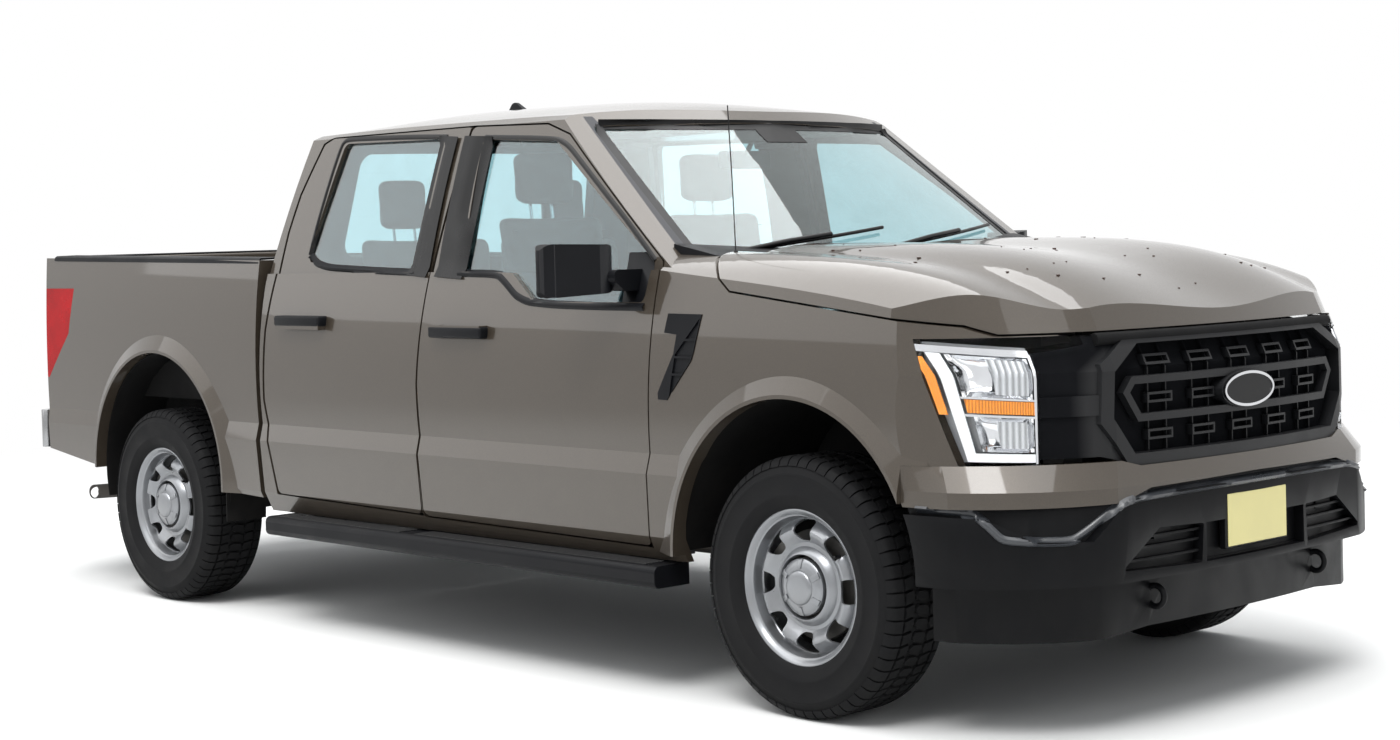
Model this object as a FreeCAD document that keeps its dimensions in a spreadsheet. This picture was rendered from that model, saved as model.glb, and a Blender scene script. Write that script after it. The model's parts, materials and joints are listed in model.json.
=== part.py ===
import FreeCAD, Part
import Sketcher
import math
import os
import re

V = FreeCAD.Vector
doc = FreeCAD.newDocument("pickup_truck")

# Driving sizes in millimetres. A name that ends in "back" is a distance behind the front axle,
# one that ends in "ahead" a distance in front of it, and one that ends in "level" a height above the ground.
SIZES = {
    "wheelbase": 3693,
    "front_overhang": 960,
    "rear_overhang": 1232,
    "half_track": 861,
    # body section, half widths and levels
    "rocker_half": 950,
    "rocker_level": 425,
    "sill_half": 984,
    "sill_level": 500,
    "haunch_half": 999,
    "haunch_level": 700,
    "crease_half": 983,
    "crease_level": 765,
    "waist_half": 988,
    "waist_level": 1030,
    "belt_half": 940,
    "belt_level": 1345,
    "flare_half": 1014.5,
    "window_sill_half": 926,
    "header_half": 800,
    "header_level": 1856,
    "roof_edge_half": 762,
    "roof_level": 1958,
    "roof_split_level": 1866,
    "side_bulge": 9,
    # panels
    "panel": 26,
    "door_depth": 108,
    "frame_depth": 28,
    "hem": 17,
    "panel_gap": 6,
    "upper_gap": 13,
    "running_gap": 8,
    "seat_gap": 0.3,
    "glass": 5,
    # doors and cab
    "door_front_back": 610,
    "post_back": 1870,
    "cab_rear_back": 2900,
    "door_rear_inset": 30,
    "door_bottom_level": 462,
    "door_top_level": 1856,
    "cab_floor_level": 580,
    "cab_floor": 40,
    "cab_wall": 40,
    "header": 120,
    "fin_back": 2560,
    "fin_length": 190,
    "fin_height": 46,
    "fin_half": 22,
    "pillar": 60,
    "firewall_back": 640,
    "cowl_level": 1385,
    # glasshouse
    "screen_foot_back": 470,
    "screen_foot_sweep": 130,
    "screen_head_back": 1050,
    "screen_head_sweep": 150,
    "screen_foot_level": 1396,
    "screen_head_level": 1845,
    "screen_foot_half": 860,
    "screen_head_half": 760,
    "rear_glass_lean": 147,
    "rear_screen_half": 640,
    "rear_screen_low_level": 1400,
    "rear_screen_high_level": 1800,
    # arches
    "front_arch_radius": 500,
    "front_arch_level": 461,
    "rear_arch_radius": 503,
    "rear_arch_level": 523,
    "arch_lip": 120,
    "liner": 8,
    # nose plan
    "nose_half": 580,
    "nose_corner_ahead": 885,
    "nose_ahead": 935,
    "nose_side_half": 945,
    "nose_side_ahead": 550,
    "nose_bend_half": 792,
    "nose_bend_ahead": 757,
    "nose_turn_ahead": 397,
    "nose_turn_half": 997,
    "nose_side_rear_ahead": 236,
    "nose_lean_level": 1040,
    "nose_lean_share": 0.45,
    # front mask
    "lamp_inner_half": 777,
    "lamp_top_level": 1143,
    "lamp_bottom_level": 786,
    "lamp_tip_half": 632,
    "lamp_tip_level": 1118,
    "lamp_heel_ahead": 593,
    "lamp_crown_ahead": 467,
    "lamp_depth": 70,
    "grille_top_level": 1138,
    "grille_bottom_level": 768,
    "grille_depth": 55,
    "grille_rim": 38,
    "grille_step": 16,
    "badge_half": 134,
    "badge_half_height": 56,
    "badge_level": 955,
    "ring_bar": 22,
    "mesh_rib": 7,
    # bumper
    "bumper_half": 620,
    "bumper_corner_ahead": 925,
    "bumper_side_half": 985,
    "bumper_side_ahead": 600,
    "bumper_bend_half": 852,
    "bumper_bend_ahead": 790,
    "bumper_end_ahead": 440,
    "bumper_end_half": 1005,
    "bumper_depth": 60,
    "bumper_recess": 28,
    "bumper_top_level": 690,
    "bumper_dip_level": 572,
    "bumper_bottom_level": 448,
    "cover_split_level": 668,
    "cover_centre_level": 712,
    "cover_depth": 40,
    "dam_bottom_level": 284,
    "dam_centre_level": 300,
    "dam_setback": 70,
    "dam_depth": 22,
    # hood
    "hood_rear_back": 425,
    "hood_front_ahead": 872,
    "hood_skin": 24,
    # bed
    "bed_front_back": 2930,
    "bed_rear_back": 4735,
    "bed_rail_half": 950,
    "bed_rail_level": 1425,
    "bed_rail_front_level": 1398,
    "bed_bottom_level": 500,
    "bed_inner_half": 828,
    "wheelhouse_half": 642,
    "bed_floor_level": 880,
    "bed_floor": 22,
    "bed_wall": 38,
    "wheelhouse_wall": 12,
    "tailgate_half": 766,
    "tailgate_depth": 62,
    "tailgate_top_level": 1428,
    "tailgate_bottom_level": 868,
    "tail_lamp_low_level": 900,
    "tail_lamp_high_level": 1290,
    "tail_lamp_length": 330,
    "tail_lamp_half": 868,
    # rear bumper
    "rear_bumper_half": 940,
    "rear_bumper_top_level": 745,
    "rear_bumper_low_level": 578,
    "rear_bumper_depth": 150,
    "ball_hole": 16,
    # ladder frame
    "rail_half": 420,
    "rail_width": 80,
    "rail_height": 150,
    "rail_front_level": 555,
    "rail_mid_level": 408,
    "rail_rear_level": 655,
    "rail_front_ahead": 800,
    "rail_rear_back": 4740,
    "member": 70,
    # wheels
    "tyre_radius": 395,
    "tyre_width": 272,
    "bead_radius": 216,
    "rim_radius": 237,
    "rim_width": 222,
    "rim_wall": 9,
    "disc_wall": 12,
    "hub_face": 78,
    "spindle": 38,
    "spindle_gap": 0.05,
    "kingpin_half": 770,
    "kingpin": 34,
    "axle_tube": 42,
    "diff_radius": 165,
    # steps
    "step_front_back": 560,
    "step_rear_back": 2800,
    "step_half": 1050,
    "step_inner_half": 900,
    "step_level": 418,
    "step_depth": 72,
    # cabin
    "seat_half": 690,
    "console_half": 130,
    "front_cushion_back": 1110,
    "seat_length": 520,
    "cushion_level": 830,
    "cushion": 150,
    "backrest": 130,
    "front_backrest_level": 1560,
    "rear_cushion_back": 2045,
    "rear_backrest_level": 1500,
    "headrest_half": 130,
    "headrest": 190,
    "dash_back": 700,
    "dash_depth": 330,
    "dash_level": 1290,
    "dash_foot_level": 960,
    "steering_radius": 186,
    "steering_grip": 15,
    "steering_half": 380,
    "steering_back": 1085,
    "steering_level": 1190,
    "column_rake": 24,
    "dash_half": 830,
    # door furniture
    "handle_length": 290,
    "handle_height": 34,
    "handle_depth": 14,
    "handle_stand": 10,
    "handle_foot": 40,
    "handle_up_share": 0.487,
    "front_handle_share": 0.085,
    "rear_handle_share": 0.11,
    "stop_share": 0.08,
    "stop_radius": 11,
    "aperture_lip": 14,
    "mirror_back": 715,
    "mirror_depth": 200,
    "mirror_drop": 16,
    "mirror_round": 40,
    "mirror_level": 1262,
    "mirror_height": 175,
    "mirror_inner_half": 1000,
    "mirror_half": 1220,
    "mirror_root_back": 720,
    "mirror_arm": 17,
    # cab details
    "roof_skin": 26,
    "screen_margin": 26,
    "screen_crown": 14,
    "glass_inset": 9,
    "rocker_inner_half": 800,
    "front_post": 70,
    "middle_post": 45,
    "rear_post": 80,
    "cowl_depth": 60,
    "cowl_rise": 30,
    "cowl_half": 855,
    # hood
    "seam_front_level": 1152,
    "hood_lip": 36,
    "hood_half": 1010,
    "hood_base_level": 1000,
    "hood_nose_level": 1125,
    "hood_crown_level": 1402,
    "hood_setback": 8,
    "fender_inner_half": 700,
    "vent_back": 548,
    "vent_length": 190,
    "vent_level": 938,
    "vent_height": 271,
    "vent_rise": 3,
    "vent_inset": 12,
    "support_ahead": 600,
    "support_lip_ahead": 790,
    "support_level": 1060,
    "support_half": 690,
    # grille and bumper details
    "pill_pitch": 190,
    "pill_half": 52,
    "pill_half_height": 15,
    "cover_setback": 9,
    "cover_knee_level": 716,
    "pocket_depth": 34,
    "hook_radius": 30,
    "hook_grip": 9,
    "hook_level": 385,
    "intake_half": 622,
    "intake_low_level": 470,
    "intake_high_level": 584,
    # bed details
    "wheelhouse_top_level": 1075,
    "bed_drop": 300,
    "bed_corner": 130,
    "trunnion": 13,
    "bed_rib": 14,
    "plate_half": 160,
    # frame details
    "member_drop": 40,
    "arm_level": 262,
    # suspension
    "kingpin_low_level": 285,
    "kingpin_top_level": 545,
    "hub_radius": 70,
    "hub_inset": 0.3,
    "arm_spread": 190,
    "arm_height": 34,
    "strut_half": 640,
    "strut_top_level": 690,
    "strut_radius": 38,
    "spring_half": 540,
    "spring_width": 65,
    "spring_reach": 640,
    "spring_rise": 190,
    "spring_stack": 30,
    # underbody
    "spare_back": 4290,
    "spare_level": 480,
    "engine_ahead": 420,
    "engine_half": 330,
    "engine_top_level": 1180,
    "gearbox_length": 900,
    "gearbox_level": 540,
    "gearbox_radius": 130,
    "tank_front_back": 1500,
    "tank_rear_back": 2600,
    "tank_half": 730,
    "tank_level": 350,
    "tank_height": 180,
    "exhaust_half": 250,
    "exhaust_level": 350,
    "exhaust_start_back": 850,
    "exhaust_tip_back": 4704,
    "exhaust_tip_half": 750,
    "exhaust_rise": 210,
    "exhaust_pipe": 32,
    "muffler_length": 600,
    "muffler_radius": 90,
}

sheet = doc.addObject("Spreadsheet::Sheet", "sizes")
for row, (name, value) in enumerate(SIZES.items(), start=1):
    sheet.set("A%d" % row, name)
    sheet.set("B%d" % row, str(value))
    sheet.setAlias("B%d" % row, name)
doc.recompute()


class Sizes:
    """The sheet's cells, read by name."""

    def __getattr__(self, name):
        return float(sheet.get(name))


s = Sizes()
FRONT_AXLE = (s.rear_overhang + s.wheelbase - s.front_overhang) / 2
REAR_AXLE = FRONT_AXLE - s.wheelbase
REACH = s.wheelbase + s.rear_overhang
FRONT_AXLE_EXPRESSION = "(rear_overhang + wheelbase - front_overhang) / 2"
WIDE = 2 * s.flare_half
TALL = 2 * s.roof_level


def back(distance):
    return FRONT_AXLE - distance


def ahead(distance):
    return FRONT_AXLE + distance


# Solids from outlines

def rounded(points, radius):
    """A closed wire through the points, with an arc of the given radius at each corner."""
    count = len(points)
    edges = []
    ends = []
    for index, corner in enumerate(points):
        before = points[index - 1] - corner
        after = points[(index + 1) % count] - corner
        half_angle = before.getAngle(after) / 2
        room = min(before.Length, after.Length) * 0.48
        if math.pi / 2 - half_angle < 0.02:
            ends.append((corner, corner, corner))
            continue
        run = min(radius / math.tan(half_angle), room)
        middle = (before.normalize() + after.normalize()).normalize()
        reach = run / math.cos(half_angle) - run * math.tan(half_angle)
        ends.append((corner + before * run, corner + middle * reach, corner + after * run))
    for index, (start, middle, end) in enumerate(ends):
        if (end - start).Length > 0:
            edges.append(Part.Arc(start, middle, end).toShape())
        following = ends[(index + 1) % count][0]
        if (following - end).Length > 1e-6:
            edges.append(Part.LineSegment(end, following).toShape())
    return Part.Wire(edges)


def flat_wire(points, radius):
    if radius:
        return rounded(points, radius)
    return Part.makePolygon(points + points[:1])


def side_prism(points, right, left, radius=0):
    """A prism across the truck from (x, z) points."""
    wire = flat_wire([V(x, right, z) for x, z in points], radius)
    return Part.Face(wire).extrude(V(0, left - right, 0))


def front_prism(points, rear, front, radius=0):
    """A prism along the truck from (y, z) points."""
    wire = flat_wire([V(rear, y, z) for y, z in points], radius)
    return Part.Face(wire).extrude(V(front - rear, 0, 0))


def plan_prism(points, low, high, radius=0):
    """An upright prism from (x, y) points."""
    wire = flat_wire([V(x, y, low) for x, y in points], radius)
    return Part.Face(wire).extrude(V(0, 0, high - low))


def box(rear, front, right, left, low, high):
    return Part.makeBox(front - rear, left - right, high - low, V(rear, right, low))


def rod(start, end, radius):
    return Part.makeCylinder(radius, (end - start).Length, start, end - start)


def mirrored(shape):
    return shape.mirror(V(0, 0, 0), V(0, 1, 0))


def both(shape):
    """The shape and its mirror image, as two solids that don't touch."""
    return Part.makeCompound([shape, mirrored(shape)])


def fused(shapes):
    return shapes[0].multiFuse(shapes[1:]).removeSplitter()


def spread(shares, start, end, low, high):
    """Points on the box from start to end and low to high, as shares of its two sides."""
    return [(start + along * (end - start), low + up * (high - low)) for along, up in shares]


def piece(label, shape):
    feature = doc.addObject("Part::Feature", label)
    feature.Label = label
    feature.Shape = shape
    return feature


# Parametric pieces bound to the sheet

def bound(expression):
    """An expression in size names, as the sheet's cells."""
    return re.sub(r"\b([a-z][a-z_]+)\b", r"sizes.\1", expression)


def bound_rod(label, centre, length, radius, turn):
    """A cylinder bound to the sheet, from its centre of one end, turned from upright."""
    rod_feature = doc.addObject("Part::Cylinder", label)
    rod_feature.Label = label
    rod_feature.Placement.Rotation = turn
    for axis, expression in zip("xyz", centre):
        rod_feature.setExpression("Placement.Base." + axis, bound(expression))
    rod_feature.setExpression("Height", bound(length))
    rod_feature.setExpression("Radius", bound(radius))
    return rod_feature


def turned_body(label, centre, profile):
    """A body turned about an axle across the truck from a sketched profile of (radius, across) expressions."""
    body = doc.addObject("PartDesign::Body", label)
    body.Label = label
    sketch = body.newObject("Sketcher::SketchObject", label + "_profile")
    count = len(profile)
    spots = [V(math.cos(index), math.sin(index), 0) * s.rim_width for index in range(count)]
    for index in range(count):
        sketch.addGeometry(Part.LineSegment(spots[index], spots[(index + 1) % count]), False)
    for index in range(count):
        sketch.addConstraint(Sketcher.Constraint("Coincident", index, 2, (index + 1) % count, 1))
    for index, (radius, across) in enumerate(profile):
        for kind, expression, place in (("DistanceX", across, spots[index].x), ("DistanceY", radius, spots[index].y)):
            row = sketch.addConstraint(Sketcher.Constraint(kind, -1, 1, index, 1, place))
            sketch.setExpression("Constraints[%d]" % row, bound(expression))
    turn = body.newObject("PartDesign::Revolution", label + "_turn")
    turn.Profile = sketch
    turn.ReferenceAxis = (sketch, ["H_Axis"])
    turn.Angle = 360
    body.Placement.Rotation = FreeCAD.Rotation(V(0, 0, 1), 90)
    for axis, expression in zip("xyz", centre):
        body.setExpression("Placement.Base." + axis, bound(expression))
    return body


def bound_fusion(label, features):
    fusion = doc.addObject("Part::MultiFuse", label)
    fusion.Label = label
    fusion.Shapes = features
    fusion.Refine = True
    return fusion


# Body envelope

def side_edges(inset, top_half, top_level, rear):
    """The left side of the body's section, from the rocker up to its top."""
    low = V(rear, s.rocker_half - inset, s.rocker_level)
    sill = V(rear, s.sill_half - inset, s.sill_level)
    haunch = V(rear, s.haunch_half - inset, s.haunch_level)
    crease = V(rear, s.crease_half - inset, s.crease_level)
    waist = V(rear, s.waist_half - inset, s.waist_level)
    top = V(rear, top_half - inset, top_level)
    lines = [Part.LineSegment(low, sill), Part.LineSegment(sill, haunch), Part.LineSegment(haunch, crease)]
    return [line.toShape() for line in lines] + [Part.Arc(crease, waist, top).toShape()], low, top


def lower_body(inset, rear, front, top_half, top_level):
    """The body below the windows, as one long solid with its sides drawn in by the inset."""
    left, low, top = side_edges(inset, top_half, top_level, rear)
    right = [edge.mirror(V(0, 0, 0), V(0, 1, 0)) for edge in left]
    low_right = V(low.x, -low.y, low.z)
    top_right = V(top.x, -top.y, top.z)
    floor = Part.LineSegment(low_right, low).toShape()
    lid = Part.LineSegment(top, top_right).toShape()
    wire = Part.Wire(Part.__sortEdges__(left + right + [floor, lid]))
    return Part.Face(wire).extrude(V(front - rear, 0, 0))


def tall_body(inset, rear, front, rise):
    """The body below the windows, carried straight up above the belt by a rise."""
    lower_part = lower_body(inset, rear, front, s.belt_half, s.belt_level)
    half = s.belt_half - inset
    return lower_part.fuse(box(rear, front, -half, half, s.belt_level, s.belt_level + rise))


CAB_CROWN_SHARES = [(0.0, 0.12), (0.13, 0.62), (0.32, 0.92), (0.52, 1.0), (0.80, 0.96), (1.0, 0.52)]


def glasshouse_wire(inset, along, crown_share, skirt):
    """One section of the glasshouse, from a skirt below the belt to a roof crowned by a share."""
    edge_level = s.header_level + (s.roof_level - s.header_level) * 0.22 * (0.4 + 0.6 * crown_share)
    crown_level = s.header_level + (s.roof_level - s.header_level) * (0.05 + 0.95 * crown_share)
    low_level = s.belt_level - skirt
    lean = (s.window_sill_half - s.header_half) / (s.header_level - s.belt_level)
    foot = V(along, s.window_sill_half + lean * skirt - inset, low_level)
    head = V(along, s.header_half - inset, s.header_level - inset / 2)
    middle = (foot + head) / 2 + V(0, s.side_bulge, 0)
    edge = V(along, s.roof_edge_half - inset, max(edge_level - inset, head.z + s.seat_gap))
    crown = V(along, 0, crown_level - inset)
    left = [Part.Arc(foot, middle, head).toShape(), Part.LineSegment(head, edge).toShape()]
    right = [edge_shape.mirror(V(0, 0, 0), V(0, 1, 0)) for edge_shape in left]
    roof = Part.Arc(edge, crown, V(along, -edge.y, edge.z)).toShape()
    floor = Part.LineSegment(V(along, -foot.y, foot.z), foot).toShape()
    return Part.Wire(Part.__sortEdges__(left + [roof] + right + [floor]))


def screen_edge(level, draw):
    """The windscreen's arc in plan at a level, drawn back by an amount."""
    share = (level - s.screen_foot_level) / (s.screen_head_level - s.screen_foot_level)
    centre = s.screen_foot_back + share * (s.screen_head_back - s.screen_foot_back) + draw
    sweep = s.screen_foot_sweep + share * (s.screen_head_sweep - s.screen_foot_sweep)
    half = s.screen_foot_half + share * (s.screen_head_half - s.screen_foot_half)
    wide = WIDE / 2
    reach = sweep * (wide / half) ** 2
    return V(back(centre + reach), -wide, level), V(back(centre), 0, level), V(back(centre + reach), wide, level)


def ahead_of_screen(draw):
    """All that lies in front of the windscreen's surface."""
    wires = []
    for level in (s.screen_foot_level - s.front_arch_radius, s.roof_level + s.pillar):
        right, middle, left = screen_edge(level, draw)
        nose = ahead(s.front_overhang)
        arc = Part.Arc(right, middle, left).toShape()
        front = Part.makePolygon([left, V(nose, left.y, level), V(nose, right.y, level), right])
        wires.append(Part.Wire(Part.__sortEdges__([arc] + front.Edges)))
    return Part.makeLoft(wires, True, True)


def behind_cab(draw):
    """All that lies behind the cab's leaning rear face."""
    foot = s.cab_rear_back - draw
    head = foot - s.rear_glass_lean
    far = back(REACH)
    slope = s.rear_glass_lean / (s.header_level + s.panel - s.belt_level)
    drop = s.belt_level - s.rocker_level + s.panel
    rise = TALL - s.header_level
    points = [(back(foot), s.belt_level - drop), (back(foot), s.belt_level)]
    points.append((back(head - slope * rise), s.header_level + s.panel + rise))
    points += [(far, s.header_level + s.panel + rise), (far, s.belt_level - drop)]
    return side_prism(points, -WIDE, WIDE)


def glasshouse(inset):
    """The glasshouse, drawn in on every side by the inset."""
    front = s.screen_foot_back - s.screen_foot_sweep
    rear = s.cab_rear_back + s.pillar
    roof_front = s.screen_head_back
    roof_rear = s.cab_rear_back - s.rear_glass_lean
    stations = [(front, CAB_CROWN_SHARES[0][1])]
    for along, crown in CAB_CROWN_SHARES:
        stations.append((roof_front + along * (roof_rear - roof_front), crown))
    stations.append((rear, CAB_CROWN_SHARES[-1][1] * 0.6))
    wires = [glasshouse_wire(inset, back(along), crown, s.panel) for along, crown in stations]
    solid = Part.makeLoft(wires, True, False)
    solid = solid.cut(ahead_of_screen(inset))
    return solid.cut(behind_cab(inset))


def nose_half(draw, level):
    """The left half of the nose in plan, drawn in by an amount: two arcs and a run back along the side."""
    corner = V(ahead(s.nose_corner_ahead - draw), s.nose_half, level)
    bend = V(ahead(s.nose_bend_ahead - draw), s.nose_bend_half - draw / 2, level)
    side = V(ahead(s.nose_side_ahead - draw / 2), s.nose_side_half - draw, level)
    turn = V(ahead(s.nose_turn_ahead - draw / 4), s.nose_turn_half - draw, level)
    wide = V(ahead(s.nose_side_rear_ahead), s.flare_half - draw, level)
    tail = V(back(s.door_front_back + s.pillar), s.flare_half - draw, level)
    return [Part.Arc(corner, bend, side), Part.Arc(side, turn, wide), Part.LineSegment(wide, tail)]


def plan_wire(front, half):
    """A closed wire in plan, the same on both sides, from its left half's curves and its foremost point."""
    edges = [curve.toShape() for curve in half]
    start = half[0].StartPoint
    end = half[-1].EndPoint
    other = [edge.mirror(V(0, 0, 0), V(0, 1, 0)) for edge in edges]
    nose = Part.Arc(start, front, V(start.x, -start.y, start.z)).toShape()
    rear = Part.LineSegment(end, V(end.x, -end.y, end.z)).toShape()
    return Part.Wire(Part.__sortEdges__(edges + other + [nose, rear]))


def nose_block(draw):
    """The nose as one solid drawn in by an amount, upright below a level and leaning back above it."""
    low = s.rocker_level * 0.5
    face = Part.Face(plan_wire(V(ahead(s.nose_ahead - draw), 0, low), nose_half(draw, low)))
    rise = s.hood_crown_level + s.pillar - s.nose_lean_level
    upright = face.extrude(V(0, 0, s.nose_lean_level - low))
    face.translate(V(0, 0, s.nose_lean_level - low))
    leaning = face.extrude(V(-s.nose_lean_share * rise, 0, rise))
    return upright.fuse(leaning)


def bumper_half(draw, level):
    """The left half of the bumper in plan, drawn in by an amount."""
    corner = V(ahead(s.bumper_corner_ahead - draw), s.bumper_half, level)
    bend = V(ahead(s.bumper_bend_ahead - draw), s.bumper_bend_half - draw / 2, level)
    side = V(ahead(s.bumper_side_ahead - draw / 2), s.bumper_side_half - draw, level)
    end = V(ahead(s.bumper_end_ahead), s.bumper_end_half - draw, level)
    return [Part.Arc(corner, bend, side), Part.LineSegment(side, end)]


def bumper_plan(draw, low, high):
    """The bumper in plan, drawn in by an amount, as a prism between two levels."""
    face = Part.Face(plan_wire(V(ahead(s.front_overhang - draw), 0, low), bumper_half(draw, low)))
    return face.extrude(V(0, 0, high - low))


def cover_block(draw):
    """The painted cover's block: as wide as the bumper below, and drawn in to the nose at the lamps' foot."""
    top = s.lamp_bottom_level
    low = s.bumper_dip_level
    end = V(ahead(s.bumper_end_ahead), s.bumper_end_half - s.cover_setback - draw, top)
    side = V(ahead(s.nose_side_ahead - draw / 2), s.nose_side_half - draw, top)
    corner = V(ahead(s.nose_corner_ahead - draw), s.nose_half, top)
    bend = V(ahead(s.nose_bend_ahead - draw), s.nose_bend_half - draw / 2, top)
    upper = plan_wire(V(ahead(s.nose_ahead - draw), 0, top), [Part.Arc(corner, bend, side), Part.LineSegment(side, end)])
    wires = []
    for level in (low, s.cover_knee_level):
        front = V(ahead(s.front_overhang - s.cover_setback - draw), 0, level)
        wires.append(plan_wire(front, bumper_half(s.cover_setback + draw, level)))
    return Part.makeLoft(wires + [upper], True, True)


def arch_disc(radius, along, level, inner, outer):
    """A cylinder across the truck, with straight legs down, that an arch cuts out of a side."""
    disc = Part.makeCylinder(radius, outer - inner, V(along, inner, level), V(0, 1, 0))
    legs = box(along - radius, along + radius, inner, outer, 0, level)
    return disc.fuse(legs)


FRONT_ARCH = back(10)
REAR_ARCH = REAR_AXLE + 18


def flare(radius, along, level):
    """The raised lip round an arch, a cone from the side's surface out to the widest point."""
    base = s.waist_half - s.panel
    outer = Part.makeCone(radius + s.arch_lip, radius + s.arch_lip * 0.1, s.flare_half - base,
                          V(along, base, level), V(0, 1, 0))
    keep = box(along - WIDE, along + WIDE, base, WIDE, s.sill_level * 0.9, TALL)
    return outer.common(keep)


# Side outlines as shares of each panel's own length and height

FRONT_DOOR_SHARES = [(0.037, 0.004), (0.022, 0.28), (0.006, 0.652), (0.460, 0.961), (0.563, 0.991),
                     (0.898, 1.0), (0.971, 0.637), (0.998, 0.351), (0.994, 0.013)]
REAR_DOOR_SHARES = [(0.0, 0.016), (0.002, 0.351), (-0.036, 0.637), (-0.14, 1.0), (0.745, 1.0),
                    (0.80, 0.985), (0.892, 0.848), (0.932, 0.745), (0.99, 0.478), (1.0, 0.285),
                    (0.98, 0.205), (0.93, 0.028)]
FRONT_WINDOW_SHARES = [(0.035, 0.651), (0.05, 0.56), (0.49, 0.56), (0.60, 0.630), (0.84, 0.636),
                       (0.84, 0.966), (0.51, 0.948)]
REAR_WINDOW_SHARES = [(0.062, 0.636), (0.020, 0.975), (0.64, 0.983), (0.66, 0.975), (0.765, 0.69),
                      (0.765, 0.665), (0.65, 0.652)]
HOOD_SEAM_SHARES = [(0.0, 1.0), (0.11, 0.55), (0.78, 0.12), (0.84, 0.0)]


def front_door_outline():
    points = spread(FRONT_DOOR_SHARES, back(s.door_front_back), back(s.post_back),
                    s.door_bottom_level, s.door_top_level)
    return points


def rear_door_outline():
    return spread(REAR_DOOR_SHARES, back(s.post_back + s.panel_gap), back(s.cab_rear_back - s.door_rear_inset),
                  s.door_bottom_level, s.door_top_level)


def front_window_outline():
    return spread(FRONT_WINDOW_SHARES, back(s.door_front_back), back(s.post_back),
                  s.door_bottom_level, s.door_top_level)


def rear_window_outline():
    return spread(REAR_WINDOW_SHARES, back(s.post_back + s.panel_gap), back(s.cab_rear_back - s.door_rear_inset),
                  s.door_bottom_level, s.door_top_level)


def grown(points, distance):
    """An outline with every edge moved out by a distance, or in by a negative one."""
    face = Part.Face(Part.makePolygon([V(x, 0, z) for x, z in points + points[:1]]))
    wire = face.OuterWire.makeOffset2D(distance, 2)
    return Part.Face(wire)


def grown_prism(points, distance, right, left):
    face = grown(points, distance)
    face.translate(V(0, right, 0))
    return face.extrude(V(0, left - right, 0))


def door_shell():
    """The left side's walls: skins, the doors' thick lower bodies and their thin upper frames."""
    rear = back(s.cab_rear_back)
    front = ahead(0)
    skin = lower_body(0, rear, front, s.belt_half, s.belt_level)
    skin = skin.cut(lower_body(s.panel, rear, front, s.belt_half, s.belt_level))
    core = lower_body(s.panel, rear, front, s.belt_half, s.belt_level)
    core = core.cut(lower_body(s.door_depth, rear, front, s.belt_half, s.belt_level))
    upper = glasshouse_block(0, s.panel).cut(glasshouse_block(s.frame_depth, 2 * s.panel))
    side = box(back(REACH), ahead(s.front_overhang), 0, WIDE, 0, TALL)
    return skin.common(side), core.common(side), upper.common(side)


def glasshouse_block(inset, skirt):
    """The plain glasshouse with no screen or rear cut, for the doors' frames and panes."""
    wires = []
    for along in (-s.front_overhang, s.cab_rear_back + s.front_overhang):
        wires.append(glasshouse_wire(inset, back(along), 1.0, skirt))
    return Part.makeLoft(wires, True, True)


SKIN, CORE, UPPER = door_shell()


def door(outline, window, cut_outline):
    """One left door: skin and upper frame to the outline, core and inner trim inside its hem."""
    full = side_prism(outline, 0, WIDE, s.panel)
    below = box(back(REACH), ahead(s.front_overhang), 0, WIDE, 0, s.belt_level)
    core = CORE.common(grown_prism(outline, -s.hem, 0, WIDE)).common(below)
    skin = SKIN.common(full)
    upper = UPPER.common(full).cut(below)
    solid = fused([skin, core, upper])
    if cut_outline:
        shifted = side_prism(cut_outline, 0, WIDE)
        shifted.translate(V(-s.upper_gap, 0, 0))
        above = box(back(REACH), ahead(s.front_overhang), 0, WIDE, s.belt_level, TALL)
        solid = solid.cut(shifted.common(above))
    return solid.cut(side_prism(window, 0, WIDE, s.panel))


def door_glass(window):
    """The pane of a left door, in the middle of its frame."""
    middle = (s.frame_depth - s.glass) / 2
    drop = s.waist_level - s.belt_level
    slab = glasshouse_block(middle, -drop).cut(glasshouse_block(middle + s.glass, -2 * drop))
    return slab.common(side_prism(window, 0, WIDE, s.panel))


# Doors

front_outline = front_door_outline()
rear_outline = rear_door_outline()
front_window = front_window_outline()
rear_window = rear_window_outline()


def stop_pin(outline, along_share, up_share):
    """Where a rubber stop of the cab meets a door's inner face, as a point of the door's box."""
    xs = [x for x, z in outline]
    zs = [z for x, z in outline]
    return min(xs) + along_share * (max(xs) - min(xs)), min(zs) + up_share * (max(zs) - min(zs))


def handle(outline, along_share):
    """A pull handle on a left door's skin, standing off it between two feet."""
    x, z = stop_pin(outline, along_share, s.handle_up_share)
    skin = s.waist_half - s.seat_gap
    grip = box(x, x + s.handle_length, skin + s.handle_stand, skin + s.handle_stand + s.handle_depth,
               z - s.handle_height / 2, z + s.handle_height / 2)
    feet = [box(foot, foot + s.handle_foot, skin - s.panel / 2, skin + s.handle_stand,
                z - s.handle_height / 2, z + s.handle_height / 2)
            for foot in (x, x + s.handle_length - s.handle_foot)]
    return grip.fuse(feet[0]).fuse(feet[1])


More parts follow.
